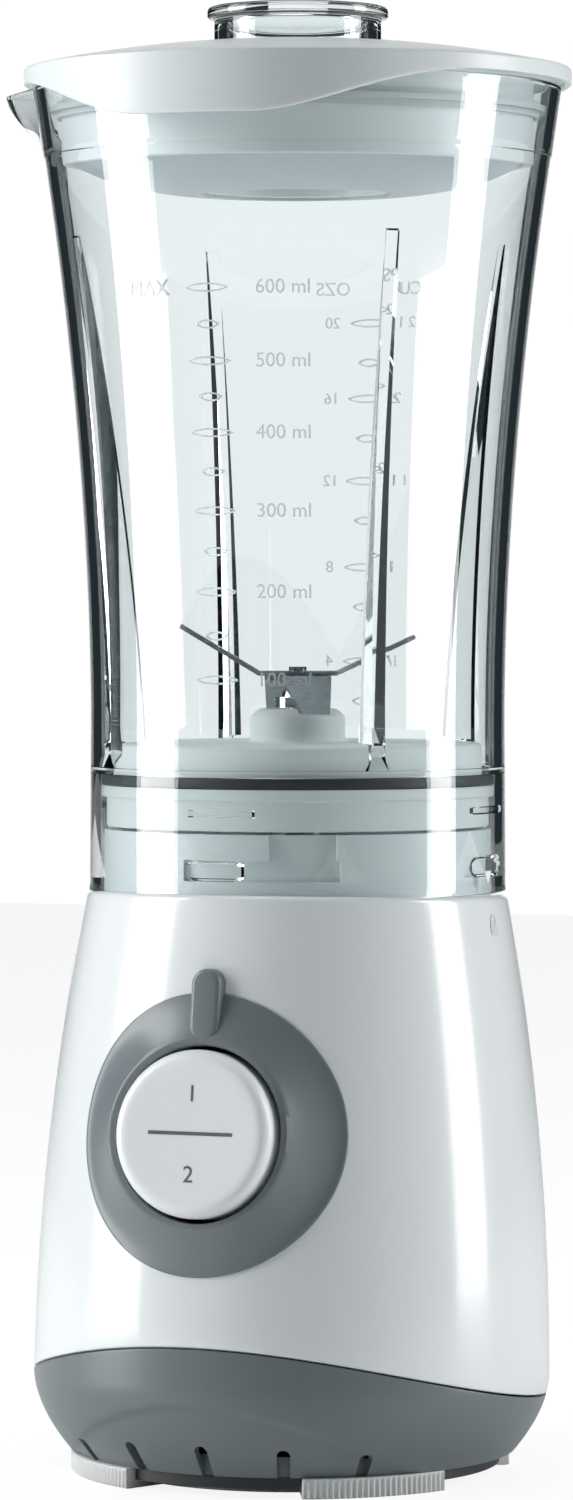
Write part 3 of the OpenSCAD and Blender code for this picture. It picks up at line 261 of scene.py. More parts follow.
finish = dict(
    whiteGloss=plastic("whiteGloss", (0.84, 0.87, 0.88), 0.2, grain=0.05, clouds=0.015, marks=0.05,
                       Coat_Weight=0.35, Coat_Roughness=0.06),
    whiteButton=plastic("whiteButton", (0.86, 0.88, 0.89), 0.3, grain=0.06, clouds=0.015),
    whiteCollar=plastic("whiteCollar", (0.72, 0.77, 0.78), 0.4, grain=0.1),
    whiteLid=plastic("whiteLid", (0.8, 0.84, 0.85), 0.33, grain=0.14, clouds=0.02),
    # painted shade: the liner is the lid's white plastic, given a darker grey-blue colour for the shade under
    # the lid
    whiteLinerPaintedShade=plastic("whiteLinerPaintedShade", (0.5, 0.57, 0.6), 0.4, grain=0.14, clouds=0.02),
    greyCover=plastic("greyCover", (0.165, 0.192, 0.203), 0.3, grain=0.22, clouds=0.05, marks=0.08),
    greyRing=plastic("greyRing", (0.185, 0.216, 0.228), 0.3, grain=0.2, clouds=0.04, marks=0.08),
    blackPlastic=plastic("blackPlastic", (0.022, 0.024, 0.026), 0.45, grain=0.3, clouds=0.15, marks=0.15),
    clearRubber=plastic("clearRubber", (0.72, 0.75, 0.75), 0.45, grain=0.25, clouds=0.05,
                        Subsurface_Weight=0.3, Subsurface_Scale=0.004),
    darkRubber=plastic("darkRubber", (0.02, 0.026, 0.03), 0.5, grain=0.3, clouds=0.15),
    paleRubber=plastic("paleRubber", (0.6, 0.64, 0.65), 0.5, grain=0.2, clouds=0.05),
    steel=metal("steel", (0.55, 0.56, 0.57), 0.28, (1, 1, 0.05)),
    bladeSteel=metal("bladeSteel", (0.4, 0.42, 0.43), 0.25, (0.3, 0.3, 3), 0.35, 0.25),
    polishedSteel=metal("polishedSteel", (0.7, 0.71, 0.72), 0.12, (1, 1, 3), 0.1, 0.05),
    castZinc=metal("castZinc", (0.45, 0.46, 0.47), 0.5, (0.3, 0.3, 0.3), 0.6, 0.25),
    lamination=metal("lamination", (0.25, 0.26, 0.28), 0.45, (0.02, 0.02, 4), 0.8, 0.2),
    enamelledCopper=metal("enamelledCopper", (0.42, 0.14, 0.05), 0.3, (0.1, 0.1, 3), 0.9, 0.3),
    copper=metal("copper", (0.72, 0.32, 0.18), 0.25, (3, 3, 0.05), 0.5, 0.2),
    brass=metal("brass", (0.66, 0.48, 0.2), 0.3, (0.1, 3, 3), 0.3, 0.2),
    bronze=metal("bronze", (0.45, 0.28, 0.13), 0.4, (1, 1, 3), 0.3, 0.3),
    carbon=plastic("carbon", (0.02, 0.02, 0.021), 0.6, grain=0.6, clouds=0.2),
    nylon=plastic("nylon", (0.66, 0.62, 0.5), 0.45, grain=0.15, clouds=0.08),
    boardGreen=plastic("boardGreen", (0.03, 0.16, 0.07), 0.35, grain=0.2, scale=700.0, clouds=0.3),
    capacitorFilm=plastic("capacitorFilm", (0.5, 0.36, 0.06), 0.3, grain=0.1, clouds=0.1),
    redPlastic=plastic("redPlastic", (0.45, 0.03, 0.02), 0.35, grain=0.1, clouds=0.05),
    frosted=clear("frosted", (0.93, 0.97, 0.97), 0.5, waves=0.1, film=0.1, transmission=0.3, IOR=1.2),
    clearJug=clear("clearJug", (0.93, 0.965, 0.97), 0.0, waves=0.012, film=0.012, IOR=1.5),
    clearCap=clear("clearCap", (0.9, 0.945, 0.95), 0.0, waves=0.02, film=0.015, IOR=1.5),
    raisedScale=clear("raisedScale", (0.72, 0.76, 0.77), 0.22, waves=0.05, film=0.1, transmission=0.85,
                      IOR=1.4),
    printGrey=plastic("printGrey", (0.11, 0.125, 0.135), 0.5, grain=0.15, clouds=0.1),
    printPale=plastic("printPale", (0.6, 0.64, 0.66), 0.5, grain=0.15, clouds=0.1),
    printWhite=plastic("printWhite", (0.88, 0.9, 0.9), 0.5, grain=0.15, clouds=0.05),
)
print("materials made")

# Mesh tools


# Rounds the corners of a path of (radius, height, fillet) points
def filleted(corners, closed=True, parts=5):
    points, count = [], len(corners)
    for i, (r, z, fillet) in enumerate(corners):
        here = Vector((r, z))
        if fillet <= 0 or (not closed and i in (0, count - 1)):
            points.append((r, z))
            continue
        before, after = Vector(corners[i - 1][:2]), Vector(corners[(i + 1) % count][:2])
        toBefore, toAfter = before - here, after - here
        cut = min(fillet, toBefore.length * 0.49, toAfter.length * 0.49)
        start, end = here + toBefore.normalized() * cut, here + toAfter.normalized() * cut
        for k in range(parts + 1):
            t = k / parts
            spot = start * (1 - t) ** 2 + here * 2 * t * (1 - t) + end * t * t
            points.append((spot.x, spot.y))
    return points


# Turns a path of (radius, height) points into a shell of revolution
def turned(points, steps=plainSteps, closed=True):
    bm = bmesh.new()
    verts = [bm.verts.new((r * mm, 0, z * mm)) for r, z in points]
    edges = [bm.edges.new(pair) for pair in zip(verts, verts[1:])]
    if closed:
        edges.append(bm.edges.new((verts[-1], verts[0])))
    bmesh.ops.spin(bm, geom=verts + edges, cent=(0, 0, 0), axis=(0, 0, 1), dvec=(0, 0, 0),
                   angle=2 * pi, steps=steps, use_merge=True)
    bmesh.ops.remove_doubles(bm, verts=bm.verts, dist=1e-6)
    bmesh.ops.recalc_face_normals(bm, faces=bm.faces)
    return bm


def turnVerts(bm, verts, angle, axis="Z"):
    bmesh.ops.rotate(bm, verts=verts, cent=(0, 0, 0), matrix=Matrix.Rotation(radians(angle), 3, axis))


# Adds one working mesh to another, which is used up
def append(target, source):
    mesh = bpy.data.meshes.new("part")
    source.to_mesh(mesh)
    source.free()
    target.from_mesh(mesh)
    bpy.data.meshes.remove(mesh)


def meshObject(name, bm):
    mesh = bpy.data.meshes.new(name)
    bm.to_mesh(mesh)
    bm.free()
    obj = bpy.data.objects.new(name, mesh)
    bpy.context.scene.collection.objects.link(obj)
    return obj


# Cuts, joins or keeps the overlap with another solid, which is used up
def combine(obj, other, operation):
    modifier = obj.modifiers.new("combine", "BOOLEAN")
    modifier.operation, modifier.solver, modifier.object = operation, "EXACT", other
    bpy.context.view_layer.update()
    worked = bpy.data.meshes.new_from_object(obj.evaluated_get(bpy.context.evaluated_depsgraph_get()))
    obj.modifiers.clear()
    obj.data = worked
    bpy.data.objects.remove(other)


# Gives a finished piece its material, its shading and its body, and hides the CAD nodes it stands for
def settle(obj, material, body, nodes=(), angle=35):
    obj.data.materials.clear()
    obj.data.materials.append(finish[material])
    bm = bmesh.new()
    bm.from_mesh(obj.data)
    for face in bm.faces:
        face.smooth = True
    for edge in bm.edges:
        edge.smooth = len(edge.link_faces) == 2 and edge.calc_face_angle(0) < radians(angle)
    bm.to_mesh(obj.data)
    bm.free()
    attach(obj, body)
    if nodes:
        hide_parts(*nodes)
    return obj


def smoothStep(low, high, value):
    t = min(1.0, max(0.0, (value - low) / (high - low)))
    return t * t * (3 - 2 * t)


# The angle round the axis from the front, in degrees, growing towards +X
def roundAngle(x, y):
    return degrees(atan2(x, -y))


def offAngle(angle, centre):
    return (angle - centre + 180) % 360 - 180


# Motor base

base = dict(topZ=123.5, widestZ=15.0, widestR=55.35, sideCurve=1142.9, tuckZ=21.0, tuckIn=7.6, footZ=4.4,
            lean=-1.9, partingZ=15.5, partingRise=15.4, partingPower=2.9, gap=0.2, wall=2.4, flange=2.2,
            collarHoleR=41.65, freeZ=64.0, topFillet=1.3)
leanAngle = radians(base["lean"])
leanMatrix = (Matrix.Translation((0, 0, base["topZ"] * mm)) @ Matrix.Rotation(leanAngle, 4, "X")
              @ Matrix.Translation((0, 0, -base["topZ"] * mm)))


def baseRadius(z):
    tuck = max(0.0, (base["tuckZ"] - z) / (base["tuckZ"] - base["footZ"]))
    return base["widestR"] - (z - base["widestZ"]) ** 2 / base["sideCurve"] - base["tuckIn"] * tuck ** 1.8


def partingHeight(y):
    front = max(0.0, (1 - y / base["widestR"]) / 2)
    return base["partingZ"] + base["partingRise"] * front ** base["partingPower"]


# Height, before the lean, at which a point at y reaches a level or the parting line
def beforeLean(y, z, level):
    worldY = y * cos(leanAngle) - (z - base["topZ"]) * sin(leanAngle)
    target = level(worldY)
    return base["topZ"] + (target - base["topZ"] - y * sin(leanAngle)) / cos(leanAngle)


def moveHeight(vert, z):
    x, y, oldZ = vert.co.x / mm, vert.co.y / mm, vert.co.z / mm
    r = sqrt(x * x + y * y)
    scale = (r + baseRadius(z) - baseRadius(oldZ)) / r
    vert.co = (x * scale * mm, y * scale * mm, z * mm)


control = dict(z=75.8, y=-53.911, lean=7.796, holeR=23.8)
controlMatrix = (Matrix.Translation((0, control["y"] * mm, control["z"] * mm))
                 @ Matrix.Rotation(radians(90 - control["lean"]), 4, "X"))


def controlCylinder(r, low, high):
    bm = bmesh.new()
    bmesh.ops.create_cone(bm, cap_ends=True, segments=96, radius1=r * mm, radius2=r * mm,
                          depth=(high - low) * mm)
    bmesh.ops.translate(bm, verts=bm.verts, vec=(0, 0, (low + high) / 2 * mm))
    bmesh.ops.transform(bm, matrix=controlMatrix, verts=bm.verts)
    return meshObject("cutter", bm)


def makeHousing():
    low, top, wall = base["partingZ"] + base["gap"], base["topZ"], base["wall"]
    heights = [low + (top - low) * (i / 40) for i in range(1, 40)]
    corners = [(baseRadius(low), low, 0.5)]
    corners += [(baseRadius(z), z, 0) for z in heights]
    corners += [(baseRadius(top), top, base["topFillet"]), (base["collarHoleR"], top, 0.3),
                (base["collarHoleR"], top - base["flange"], 0),
                (baseRadius(top) - wall, top - base["flange"], 0)]
    corners += [(baseRadius(z) - wall, z, 0) for z in reversed(heights[:-1])]
    corners += [(baseRadius(low) - wall, low, 0.3)]
    bm = turned(filleted(corners), fineSteps)
    for vert in bm.verts:
        z = vert.co.z / mm
        share = min(1.0, max(0.0, (base["freeZ"] - z) / (base["freeZ"] - low)))
        if share > 0:
            edge = beforeLean(vert.co.y / mm, z, lambda y: partingHeight(y) + base["gap"])
            moveHeight(vert, z + (edge - low) * share ** 1.3)
    bmesh.ops.transform(bm, matrix=leanMatrix, verts=bm.verts)
    housing = meshObject("housing_shell", bm)
    combine(housing, controlCylinder(control["holeR"], -20, 20), "DIFFERENCE")
    return settle(housing, "whiteGloss", "base", ["housing"])


cover = dict(archR=57.45, archZ=-37.95, archStep=0.7, archSoft=0.55,
             ventAngles=(-40.6, -20.3, 0.0, 20.3, 40.6), ventWidth=2.6,
             ventTop=(9.3, 10.6, 11.0, 10.6, 9.3), ventFrom=44.5, floorR=28.5, floorT=2.0,
             wall=2.2, floorY=-3.95)


def ventCutter():
    bm = bmesh.new()
    for side in (0, 180):
        for angle, top in zip(cover["ventAngles"], cover["ventTop"]):
            half = cover["ventWidth"] / 2
            made = bmesh.ops.create_cone(bm, cap_ends=True, segments=32, radius1=half * mm,
                                         radius2=(half + 0.5) * mm, depth=16 * mm)["verts"]
            turnVerts(bm, made, 90, "X")
            for vert in made:
                if vert.co.z < 0:
                    vert.co.z -= 12 * mm
            bmesh.ops.translate(bm, verts=made, vec=(0, -(cover["ventFrom"] + 8) * mm, (top - half) * mm))
            turnVerts(bm, made, angle + side)
    bmesh.ops.translate(bm, verts=bm.verts, vec=(0, cover["floorY"] * mm, 0))
    return meshObject("cutter", bm)


def makeCover():
    low, high, wall = base["footZ"], base["partingZ"] - base["gap"], cover["wall"]
    heights = [low + (high - low) * i / 44 for i in range(1, 44)]
    corners = [(baseRadius(low), low, 0.6)]
    corners += [(baseRadius(z), z, 0) for z in heights]
    corners += [(baseRadius(high), high, 0.35), (baseRadius(high) - wall, high, 0)]
    corners += [(baseRadius(z) - wall, z, 0) for z in reversed(heights[9::4])]
    corners += [(baseRadius(low + cover["floorT"]) - wall, low + cover["floorT"], 0),
                (cover["floorR"], low + cover["floorT"], 0), (cover["floorR"], low, 0)]
    bm = turned(filleted(corners), fineSteps)
    for vert in bm.verts:
        y, z = vert.co.y / mm, vert.co.z / mm
        share = (z - low) / (high - low)
        bottom = beforeLean(y, z, lambda worldY: low)
        top = beforeLean(y, z, lambda worldY: partingHeight(worldY) - base["gap"])
        moveHeight(vert, bottom + share * (top - bottom))
    bmesh.ops.transform(bm, matrix=leanMatrix, verts=bm.verts)
    for vert in bm.verts:      # the sunk arch on the front
        x, y, z = vert.co / mm
        inside = cover["archR"] - sqrt(x * x + (z - cover["archZ"]) ** 2)
        if y < 0:
            sink = cover["archStep"] * smoothStep(-cover["archSoft"], cover["archSoft"], inside)
            r = sqrt(x * x + y * y)
            vert.co.x -= x / r * sink * mm
            vert.co.y -= y / r * sink * mm
    shell = meshObject("base_cover", bm)
    combine(shell, ventCutter(), "DIFFERENCE")
    return settle(shell, "greyCover", "base", ["lower_cover"])


feet = dict(angles=(45, 135, 225, 315), width=40, inR=33.0, outR=47.2, height=4.4, ribDepth=0.45, ribs=26,
            ribTop=3.4, webIn=34.0, webOut=37.0, webHeight=1.0)


def makeFeet():
    bm = bmesh.new()
    height = feet["height"]
    path = filleted([(feet["inR"], 0.1, 0.3), (feet["outR"], 0.1, 0.5), (feet["outR"], feet["ribTop"], 0),
                     (feet["outR"], height, 0.3), (feet["inR"], height, 0.3)])
    for angle in feet["angles"]:
        verts = [bm.verts.new((r * mm, 0, z * mm)) for r, z in path]
        edges = [bm.edges.new(pair) for pair in zip(verts, verts[1:] + verts[:1])]
        turnVerts(bm, verts, angle - 90 - feet["width"] / 2)
        made = bmesh.ops.spin(bm, geom=verts + edges, cent=(0, 0, 0), axis=(0, 0, 1), dvec=(0, 0, 0),
                              angle=radians(feet["width"]), steps=feet["ribs"] * 6,
                              use_merge=False)["geom_last"]
        bmesh.ops.contextual_create(bm, geom=edges)
        bmesh.ops.contextual_create(bm, geom=[e for e in made if isinstance(e, bmesh.types.BMEdge)])
    for vert in bm.verts:      # moulded ribs round the outer edge
        x, y, z = vert.co / mm
        r = sqrt(x * x + y * y)
        if r > feet["outR"] - 0.6 and z < feet["ribTop"] + 0.2:
            start = (roundAngle(x, y) - feet["angles"][0] + feet["width"] / 2) % 90
            wave = 0.5 - 0.5 * cos(2 * pi * start / feet["width"] * feet["ribs"])
            scale = 1 - feet["ribDepth"] * wave / r
            vert.co.x *= scale
            vert.co.y *= scale
    high = feet["webHeight"]
    append(bm, turned([(feet["webOut"], 0.15), (feet["webOut"], high), (feet["webIn"], high),
                       (feet["webIn"], 0.15)], 96))
    bmesh.ops.translate(bm, verts=bm.verts, vec=(0, cover["floorY"] * mm, 0))
    bmesh.ops.recalc_face_normals(bm, faces=bm.faces)
    return settle(meshObject("ribbed_feet", bm), "clearRubber", "base", ["rubber_feet"])


makeHousing()
makeCover()
makeFeet()
print("base made")

# Control

ring = dict(outR=29.5, rimR=20.0, rimS=1.6, holeR=18.4, tubeR=20.2, depth=-12.0, edge=0.5, power=1.5,
            seatR=23.9, finWidth=6.2, finReach=34.9, finFlare=2.1, finLow=-9.0)


# How far the housing's surface stands along the control's axis, at a place in its plane
def housingStand(x, y):
    stand = 0.0
    unlean = leanMatrix.inverted()
    for _ in range(6):
        spot = unlean @ (controlMatrix @ Vector((x * mm, y * mm, stand * mm)))
        stand += baseRadius(spot.z / mm) - sqrt(spot.x ** 2 + spot.y ** 2) / mm
    return stand


def makeControlRing():
    rows = [ring["outR"] - (ring["outR"] - ring["rimR"]) * i / 14 for i in range(15)]
    points = [(ring["outR"], 0.0), (ring["outR"], 0.6)] + [(r, 1.0) for r in rows]
    points += [(19.6, 1.72), (19.0, 1.66), (18.62, 1.45), (18.45, 1.1), (ring["holeR"], 0.6),
               (ring["holeR"], ring["depth"]), (ring["tubeR"], ring["depth"]),
               (ring["tubeR"], -3.0), (ring["seatR"], 0.0)]
    bm = turned(points, 240)
    for vert in bm.verts:
        x, y, z = vert.co / mm
        r = sqrt(x * x + y * y)
        if r > ring["rimR"] - 0.01 and z > -2:
            if z < 0.5:
                stand = housingStand(x, y) + 0.05
            else:
                shrink = ring["outR"] / r
                outer = housingStand(x * shrink, y * shrink) + ring["edge"]
                t = max(0.0, (ring["outR"] - r) / (ring["outR"] - ring["rimR"]))
                stand = outer + (ring["rimS"] - outer) * t ** ring["power"]
                if z < 0.9:
                    stand -= 0.18
            vert.co.z = stand * mm
    for vert in bm.verts:      # a small round on the outer edge
        x, y, z = vert.co / mm
        if abs(sqrt(x * x + y * y) - ring["outR"]) < 0.01 and z > housingStand(x, y) + 0.45:
            vert.co.x *= 1 - 0.15 / ring["outR"]
            vert.co.y *= 1 - 0.15 / ring["outR"]
    body = meshObject("control_dish", bm)
    combine(body, makeFin(), "UNION")
    return body


# The pointer fin: its face lies in the rim's plane and its sides lean out to the dish
def makeFin():
    half = ring["finWidth"] / 2
    bm = bmesh.new()
    bmesh.ops.create_circle(bm, cap_ends=True, segments=48, radius=half * mm)
    for vert in bm.verts:
        vert.co.y += (ring["finReach"] - half - 0.6 if vert.co.y > -1e-7 else 19.4 + half) * mm
    made = bmesh.ops.extrude_face_region(bm, geom=list(bm.faces))["geom"]
    for vert in [v for v in made if isinstance(v, bmesh.types.BMVert)]:
        vert.co.z = ring["finLow"] * mm
        x, y = vert.co.x / mm, vert.co.y / mm
        vert.co.x += (x / half) * ring["finFlare"] * mm
        if y > 30:
            vert.co.y += (y - (ring["finReach"] - half)) / half * ring["finFlare"] * 0.6 * mm
    for vert in bm.verts:
        if vert.co.z > -1e-6:
            vert.co.z = (ring["rimS"] + 0.08) * mm
    rim = [e for e in bm.edges if all(v.co.z > 0 for v in e.verts)]
    bmesh.ops.bevel(bm, geom=rim, offset=0.9 * mm, offset_type="OFFSET", affect="EDGES", segments=4,
                    profile=0.5, material=-1)
    bmesh.ops.recalc_face_normals(bm, faces=bm.faces)
    return meshObject("fin", bm)


def makeRing():
    obj = makeControlRing()
    obj.data.transform(controlMatrix)
    return settle(obj, "greyRing", "base", ["control_ring"], 40)


button = dict(r=17.5, face=5.5, flatR=15.0, shoulder=3.1, low=-8.0, wall=1.8, hollow=0.2, hollowR=14.4)


# The button's face is very slightly hollow
def faceHeight(r):
    return button["face"] - button["hollow"] * max(0.0, 1 - (r / button["hollowR"]) ** 2)


def makeButton():
    r, face, wall = button["r"], button["face"], button["wall"]
    rows = [button["hollowR"] * i / 12 for i in range(13)]
    path = [(radius, faceHeight(radius)) for radius in rows]
    for angle in (10, 22, 34, 46, 58, 70, 80, 90):
        turn = radians(angle)
        path.append((button["flatR"] + (r - button["flatR"]) * sin(turn),
                     face - button["shoulder"] * (1 - cos(turn))))
    path += [(r, button["low"]), (r - wall, button["low"]), (r - wall, face - wall - 1.2),
             (r - wall - 1.5, face - wall), (0.0, face - wall)]
    bm = turned(path, plainSteps, closed=False)
    bmesh.ops.transform(bm, matrix=controlMatrix, verts=bm.verts)
    bmesh.ops.recalc_face_normals(bm, faces=bm.faces)
    return settle(meshObject("rocker_button", bm), "whiteButton", "button", ["button"], 50)


# Flat lettering as a thin solid, centred at the origin, its capitals of the given height
def lettering(words, height, thickness):
    curve = bpy.data.curves.new("words", "FONT")
    curve.body, curve.size, curve.align_x, curve.align_y = words, height / 0.69 * mm, "CENTER", "CENTER"
    curve.extrude = thickness / 2 * mm
    curve.resolution_u = 5
    holder = bpy.data.objects.new("words", curve)
    bpy.context.scene.collection.objects.link(holder)
    bpy.context.view_layer.update()
    mesh = bpy.data.meshes.new_from_object(holder.evaluated_get(bpy.context.evaluated_depsgraph_get()))
    bpy.data.objects.remove(holder)
    bm = bmesh.new()
    bm.from_mesh(mesh)
    bpy.data.meshes.remove(mesh)
    bmesh.ops.remove_doubles(bm, verts=bm.verts, dist=1e-7)
    return bm


marks = dict(oneY=8.1, twoY=-8.6, digit=3.4, line=(18.8, 0.75), relief=0.06, lift=0.04)


def makeButtonPrint():
    bm = bmesh.new()
    for words, y in (("1", marks["oneY"]), ("2", marks["twoY"])):
        part = lettering(words, marks["digit"], marks["relief"])
        bmesh.ops.translate(part, verts=part.verts, vec=(0, y * mm, 0))
        append(bm, part)
    part = bmesh.new()
    bmesh.ops.create_grid(part, x_segments=24, y_segments=1, size=0.5)
    bmesh.ops.scale(part, verts=part.verts, vec=(marks["line"][0] * mm, marks["line"][1] * mm, 1))
    bmesh.ops.solidify(part, geom=list(part.faces), thickness=marks["relief"] * mm)
    bmesh.ops.translate(part, verts=part.verts, vec=(0, 0, marks["relief"] / 2 * mm))
    append(bm, part)
    for vert in bm.verts:
        r = sqrt(vert.co.x ** 2 + vert.co.y ** 2) / mm
        vert.co.z = (vert.co.z / mm + faceHeight(r) + marks["lift"]) * mm
    bmesh.ops.transform(bm, matrix=controlMatrix, verts=bm.verts)
    return settle(meshObject("button_print", bm), "printGrey", "button", ())


makeRing()
makeButton()
makeButtonPrint()
print("control made")

# Jug

jug = dict(lowZ=124.0, skirtR=44.7, flareZ=160.0, flareLowR=44.5, rimR=56.6, topZ=295.6, power=1.85,
           stepZ=280.5, step=0.2, wall=2.3, skirtInR=42.4, ledgeR=41.4, ledgeZ=149.2, ledgeTop=150.7,
           lugZ=129.8,
           lugHalf=1.9, lugDepth=0.7, lugAngle=-2.0, lugArc=9.0, keeperLow=141.0, keeperTop=142.5,
           keeperDepth=1.1, ribAngle=45.0, ribDepth=6.9, ribHalf=1.4, ribTop=263.0, ribFoot=156.15,
           ribFootDepth=2.2,
           ribEdge=0.12, spoutR=69.6, spoutLow=281.2, spoutTip=295.9, spoutAngle=270.0, spoutHalf=25.0)


def jugRadius(z):
    if z < jug["flareZ"]:
        return jug["skirtR"] - 0.2 * (z - jug["lowZ"]) / (jug["flareZ"] - jug["lowZ"])
    grow = ((z - jug["flareZ"]) / (jug["topZ"] - jug["flareZ"])) ** jug["power"]
    step = jug["step"] * (jug["topZ"] - z) / (jug["topZ"] - jug["stepZ"]) if z > jug["stepZ"] else 0
    return jug["flareLowR"] + (jug["rimR"] - jug["flareLowR"]) * grow + step


# How far the spout pushes the wall out, at an angle from its middle and a height
def spoutReach(off, z):
    half = radians(jug["spoutHalf"])
    soft = sqrt(radians(off) ** 2 + 0.02 ** 2)
    if soft >= half or z <= jug["spoutLow"]:
        return 0.0
    endX, endY = jug["rimR"] * cos(half), jug["rimR"] * sin(half)
    line = jug["spoutR"] * endY / (endY * cos(soft) + (jug["spoutR"] - endX) * sin(soft))
    rise = min(1.0, (z - jug["spoutLow"]) / (jug["spoutTip"] - jug["spoutLow"]))
    return max(0.0, line - jug["rimR"]) * sin(rise * pi / 2)


def makeJug():
    low, top, wall = jug["lowZ"], jug["topZ"], jug["wall"]
    outer = [126.0 + 3.4 * i for i in range(10)] + [160 + 5 * i for i in range(24)] + [280.3, 280.5, 280.7]
    outer += [281.7 + 1.05 * i for i in range(12)]
    inner = [top - 1.1 - 1.05 * i for i in range(13)] + [279, 274, 269, 264.5, 263.2, 262.8]
    inner += [258 - 5 * i for i in range(20)] + [159.5, 156.4, 155.9, 153.5]
    corners = [(jug["skirtR"], low, 0.4)] + [(jugRadius(z), z, 0) for z in outer]
    corners += [(jug["rimR"], top, 0.7), (jug["rimR"] - wall, top, 0.7)]
    corners += [(jugRadius(z) - wall, z, 0) for z in inner if z > jug["ledgeTop"] + 0.5]
    corners += [(jugRadius(jug["ledgeTop"]) - wall, jug["ledgeTop"], 0),
                (jug["ledgeR"], jug["ledgeTop"], 0.2), (jug["ledgeR"], jug["ledgeZ"], 0.2),
                (jug["skirtInR"], jug["ledgeZ"], 0)]
    corners += [(jug["skirtInR"], z, 0) for z in (142.75, 142.55, 142.3, 141.2, 140.95, 140.75)]
    corners += [(jug["skirtInR"], 132.2 - 0.3 * i, 0) for i in range(17)] + [(jug["skirtInR"], low, 0.3)]
    bm = turned(filleted(corners), fineSteps)
    for vert in bm.verts:
        x, y, z = vert.co / mm
        r, angle = sqrt(x * x + y * y), roundAngle(x, y)
        isInner = r < jugRadius(min(z, top)) - 0.6 * wall
        push = spoutReach(offAngle(angle, jug["spoutAngle"]), z)
        if push > 0:
            spread = push / (jug["spoutR"] - jug["rimR"])
            z -= (top - jug["spoutTip"]) * spread * smoothStep(286, top, z)
            r += push
        if isInner and jug["ledgeTop"] + 0.1 < z:      # the four ribs
            off = offAngle((angle - jug["ribAngle"] + 45) % 90 - 45, 0)
            size, width, edge = abs(off), degrees(jug["ribHalf"] / r), jug["ribEdge"]
            if size < 10:      # columns are drawn in to a rib's faces and edges
                if size < 3.01:
                    moved = size / 3 * (width - edge)
                elif size < 4.01:
                    moved = width + edge * (2 * (size - 3) - 1)
                else:
                    moved = width + edge + (size - 4) / 6 * (10 - width - edge)
                angle += (moved - size) * (1 if off > 0 else -1)
                if size < 3.5 and z < jug["ribTop"]:
                    t = (z - jug["ribFoot"]) / (jug["ribTop"] - jug["ribFoot"])
                    r -= jug["ribDepth"] * (1 - t) + 0.4 if t > 0 else jug["ribFootDepth"]
        if r < jug["skirtInR"] + 0.01 and z < jug["ledgeZ"] - 0.1:      # bayonet lugs and keepers
            off = (angle - jug["lugAngle"] + 45) % 90 - 45
            reach = max(0.0, abs(radians(off) * r) - (radians(jug["lugArc"]) * r - jug["lugHalf"]))
            near = jug["lugHalf"] - sqrt(reach ** 2 + (z - jug["lugZ"]) ** 2)
            r -= jug["lugDepth"] * smoothStep(-0.1, 0.35, near)
            keeper = (angle + 45) % 90 - 45
            if jug["keeperLow"] - 0.02 < z < jug["keeperTop"] + 0.02 and abs(keeper) < 9.5:
                r -= jug["keeperDepth"]
        turn = radians(angle)
        vert.co = (r * sin(turn) * mm, -r * cos(turn) * mm, z * mm)
    bmesh.ops.recalc_face_normals(bm, faces=bm.faces)
    return settle(meshObject("jug_wall", bm), "clearJug", "jug", ["jug"], 30)


scale = dict(majorZ=(250.9, 235.8, 221.0, 204.8, 188.0, 169.7), major=(9.4, 1.9), minor=(5.1, 1.9),
             words=("600 ml", "500 ml", "400 ml", "300 ml", "200 ml", "100 ml"), wordAngle=18.5,
             maxAngle=-16.0, height=2.9, maxHeight=3.4, relief=0.4, thin=0.36,
             backZ=(247.3, 230.5, 212.3, 193.2, 172.4), ounces=("20", "16", "12", "8", "4"),
             cups=("2 1/2", "2", "1 1/2", "1", "1/2"), ounceAngle=192.7, cupAngle=173.6, tickAngle=182.5,
             backWords=254.8)


# Wraps flat lettering drawn at the origin round the jug's wall
def wrapOnJug(part, angle, z):
    for vert in part.verts:
        x, up, out = vert.co / mm
        r = jugRadius(z + up) + out
        turn = radians(angle) + x / r
        vert.co = (r * sin(turn) * mm, -r * cos(turn) * mm, (z + up) * mm)
    return part


# A raised lens-shaped ring, pointed at both ends
def lensTick(length, width):
    part = bmesh.new()
    bmesh.ops.create_circle(part, cap_ends=True, segments=40, radius=1.0)
    bmesh.ops.inset_region(part, faces=list(part.faces), thickness=0.2, depth=0, use_boundary=True)
    bmesh.ops.delete(part, geom=[f for f in part.faces if len(f.verts) > 4], context="FACES_ONLY")
    for vert in part.verts:
        reach, turn = sqrt(vert.co.x ** 2 + vert.co.y ** 2), atan2(vert.co.y, vert.co.x)
        inward = (1 - reach) * scale["thin"] / 0.2
        vert.co.x = cos(turn) * (length / 2 - 1.6 * inward) * mm
        vert.co.y = sin(turn) * abs(sin(turn)) ** 0.35 * (width / 2 - inward) * mm
    bmesh.ops.solidify(part, geom=list(part.faces), thickness=scale["relief"] * mm)
    for vert in part.verts:
        vert.co.z = abs(vert.co.z)
    bmesh.ops.recalc_face_normals(part, faces=part.faces)
    return part


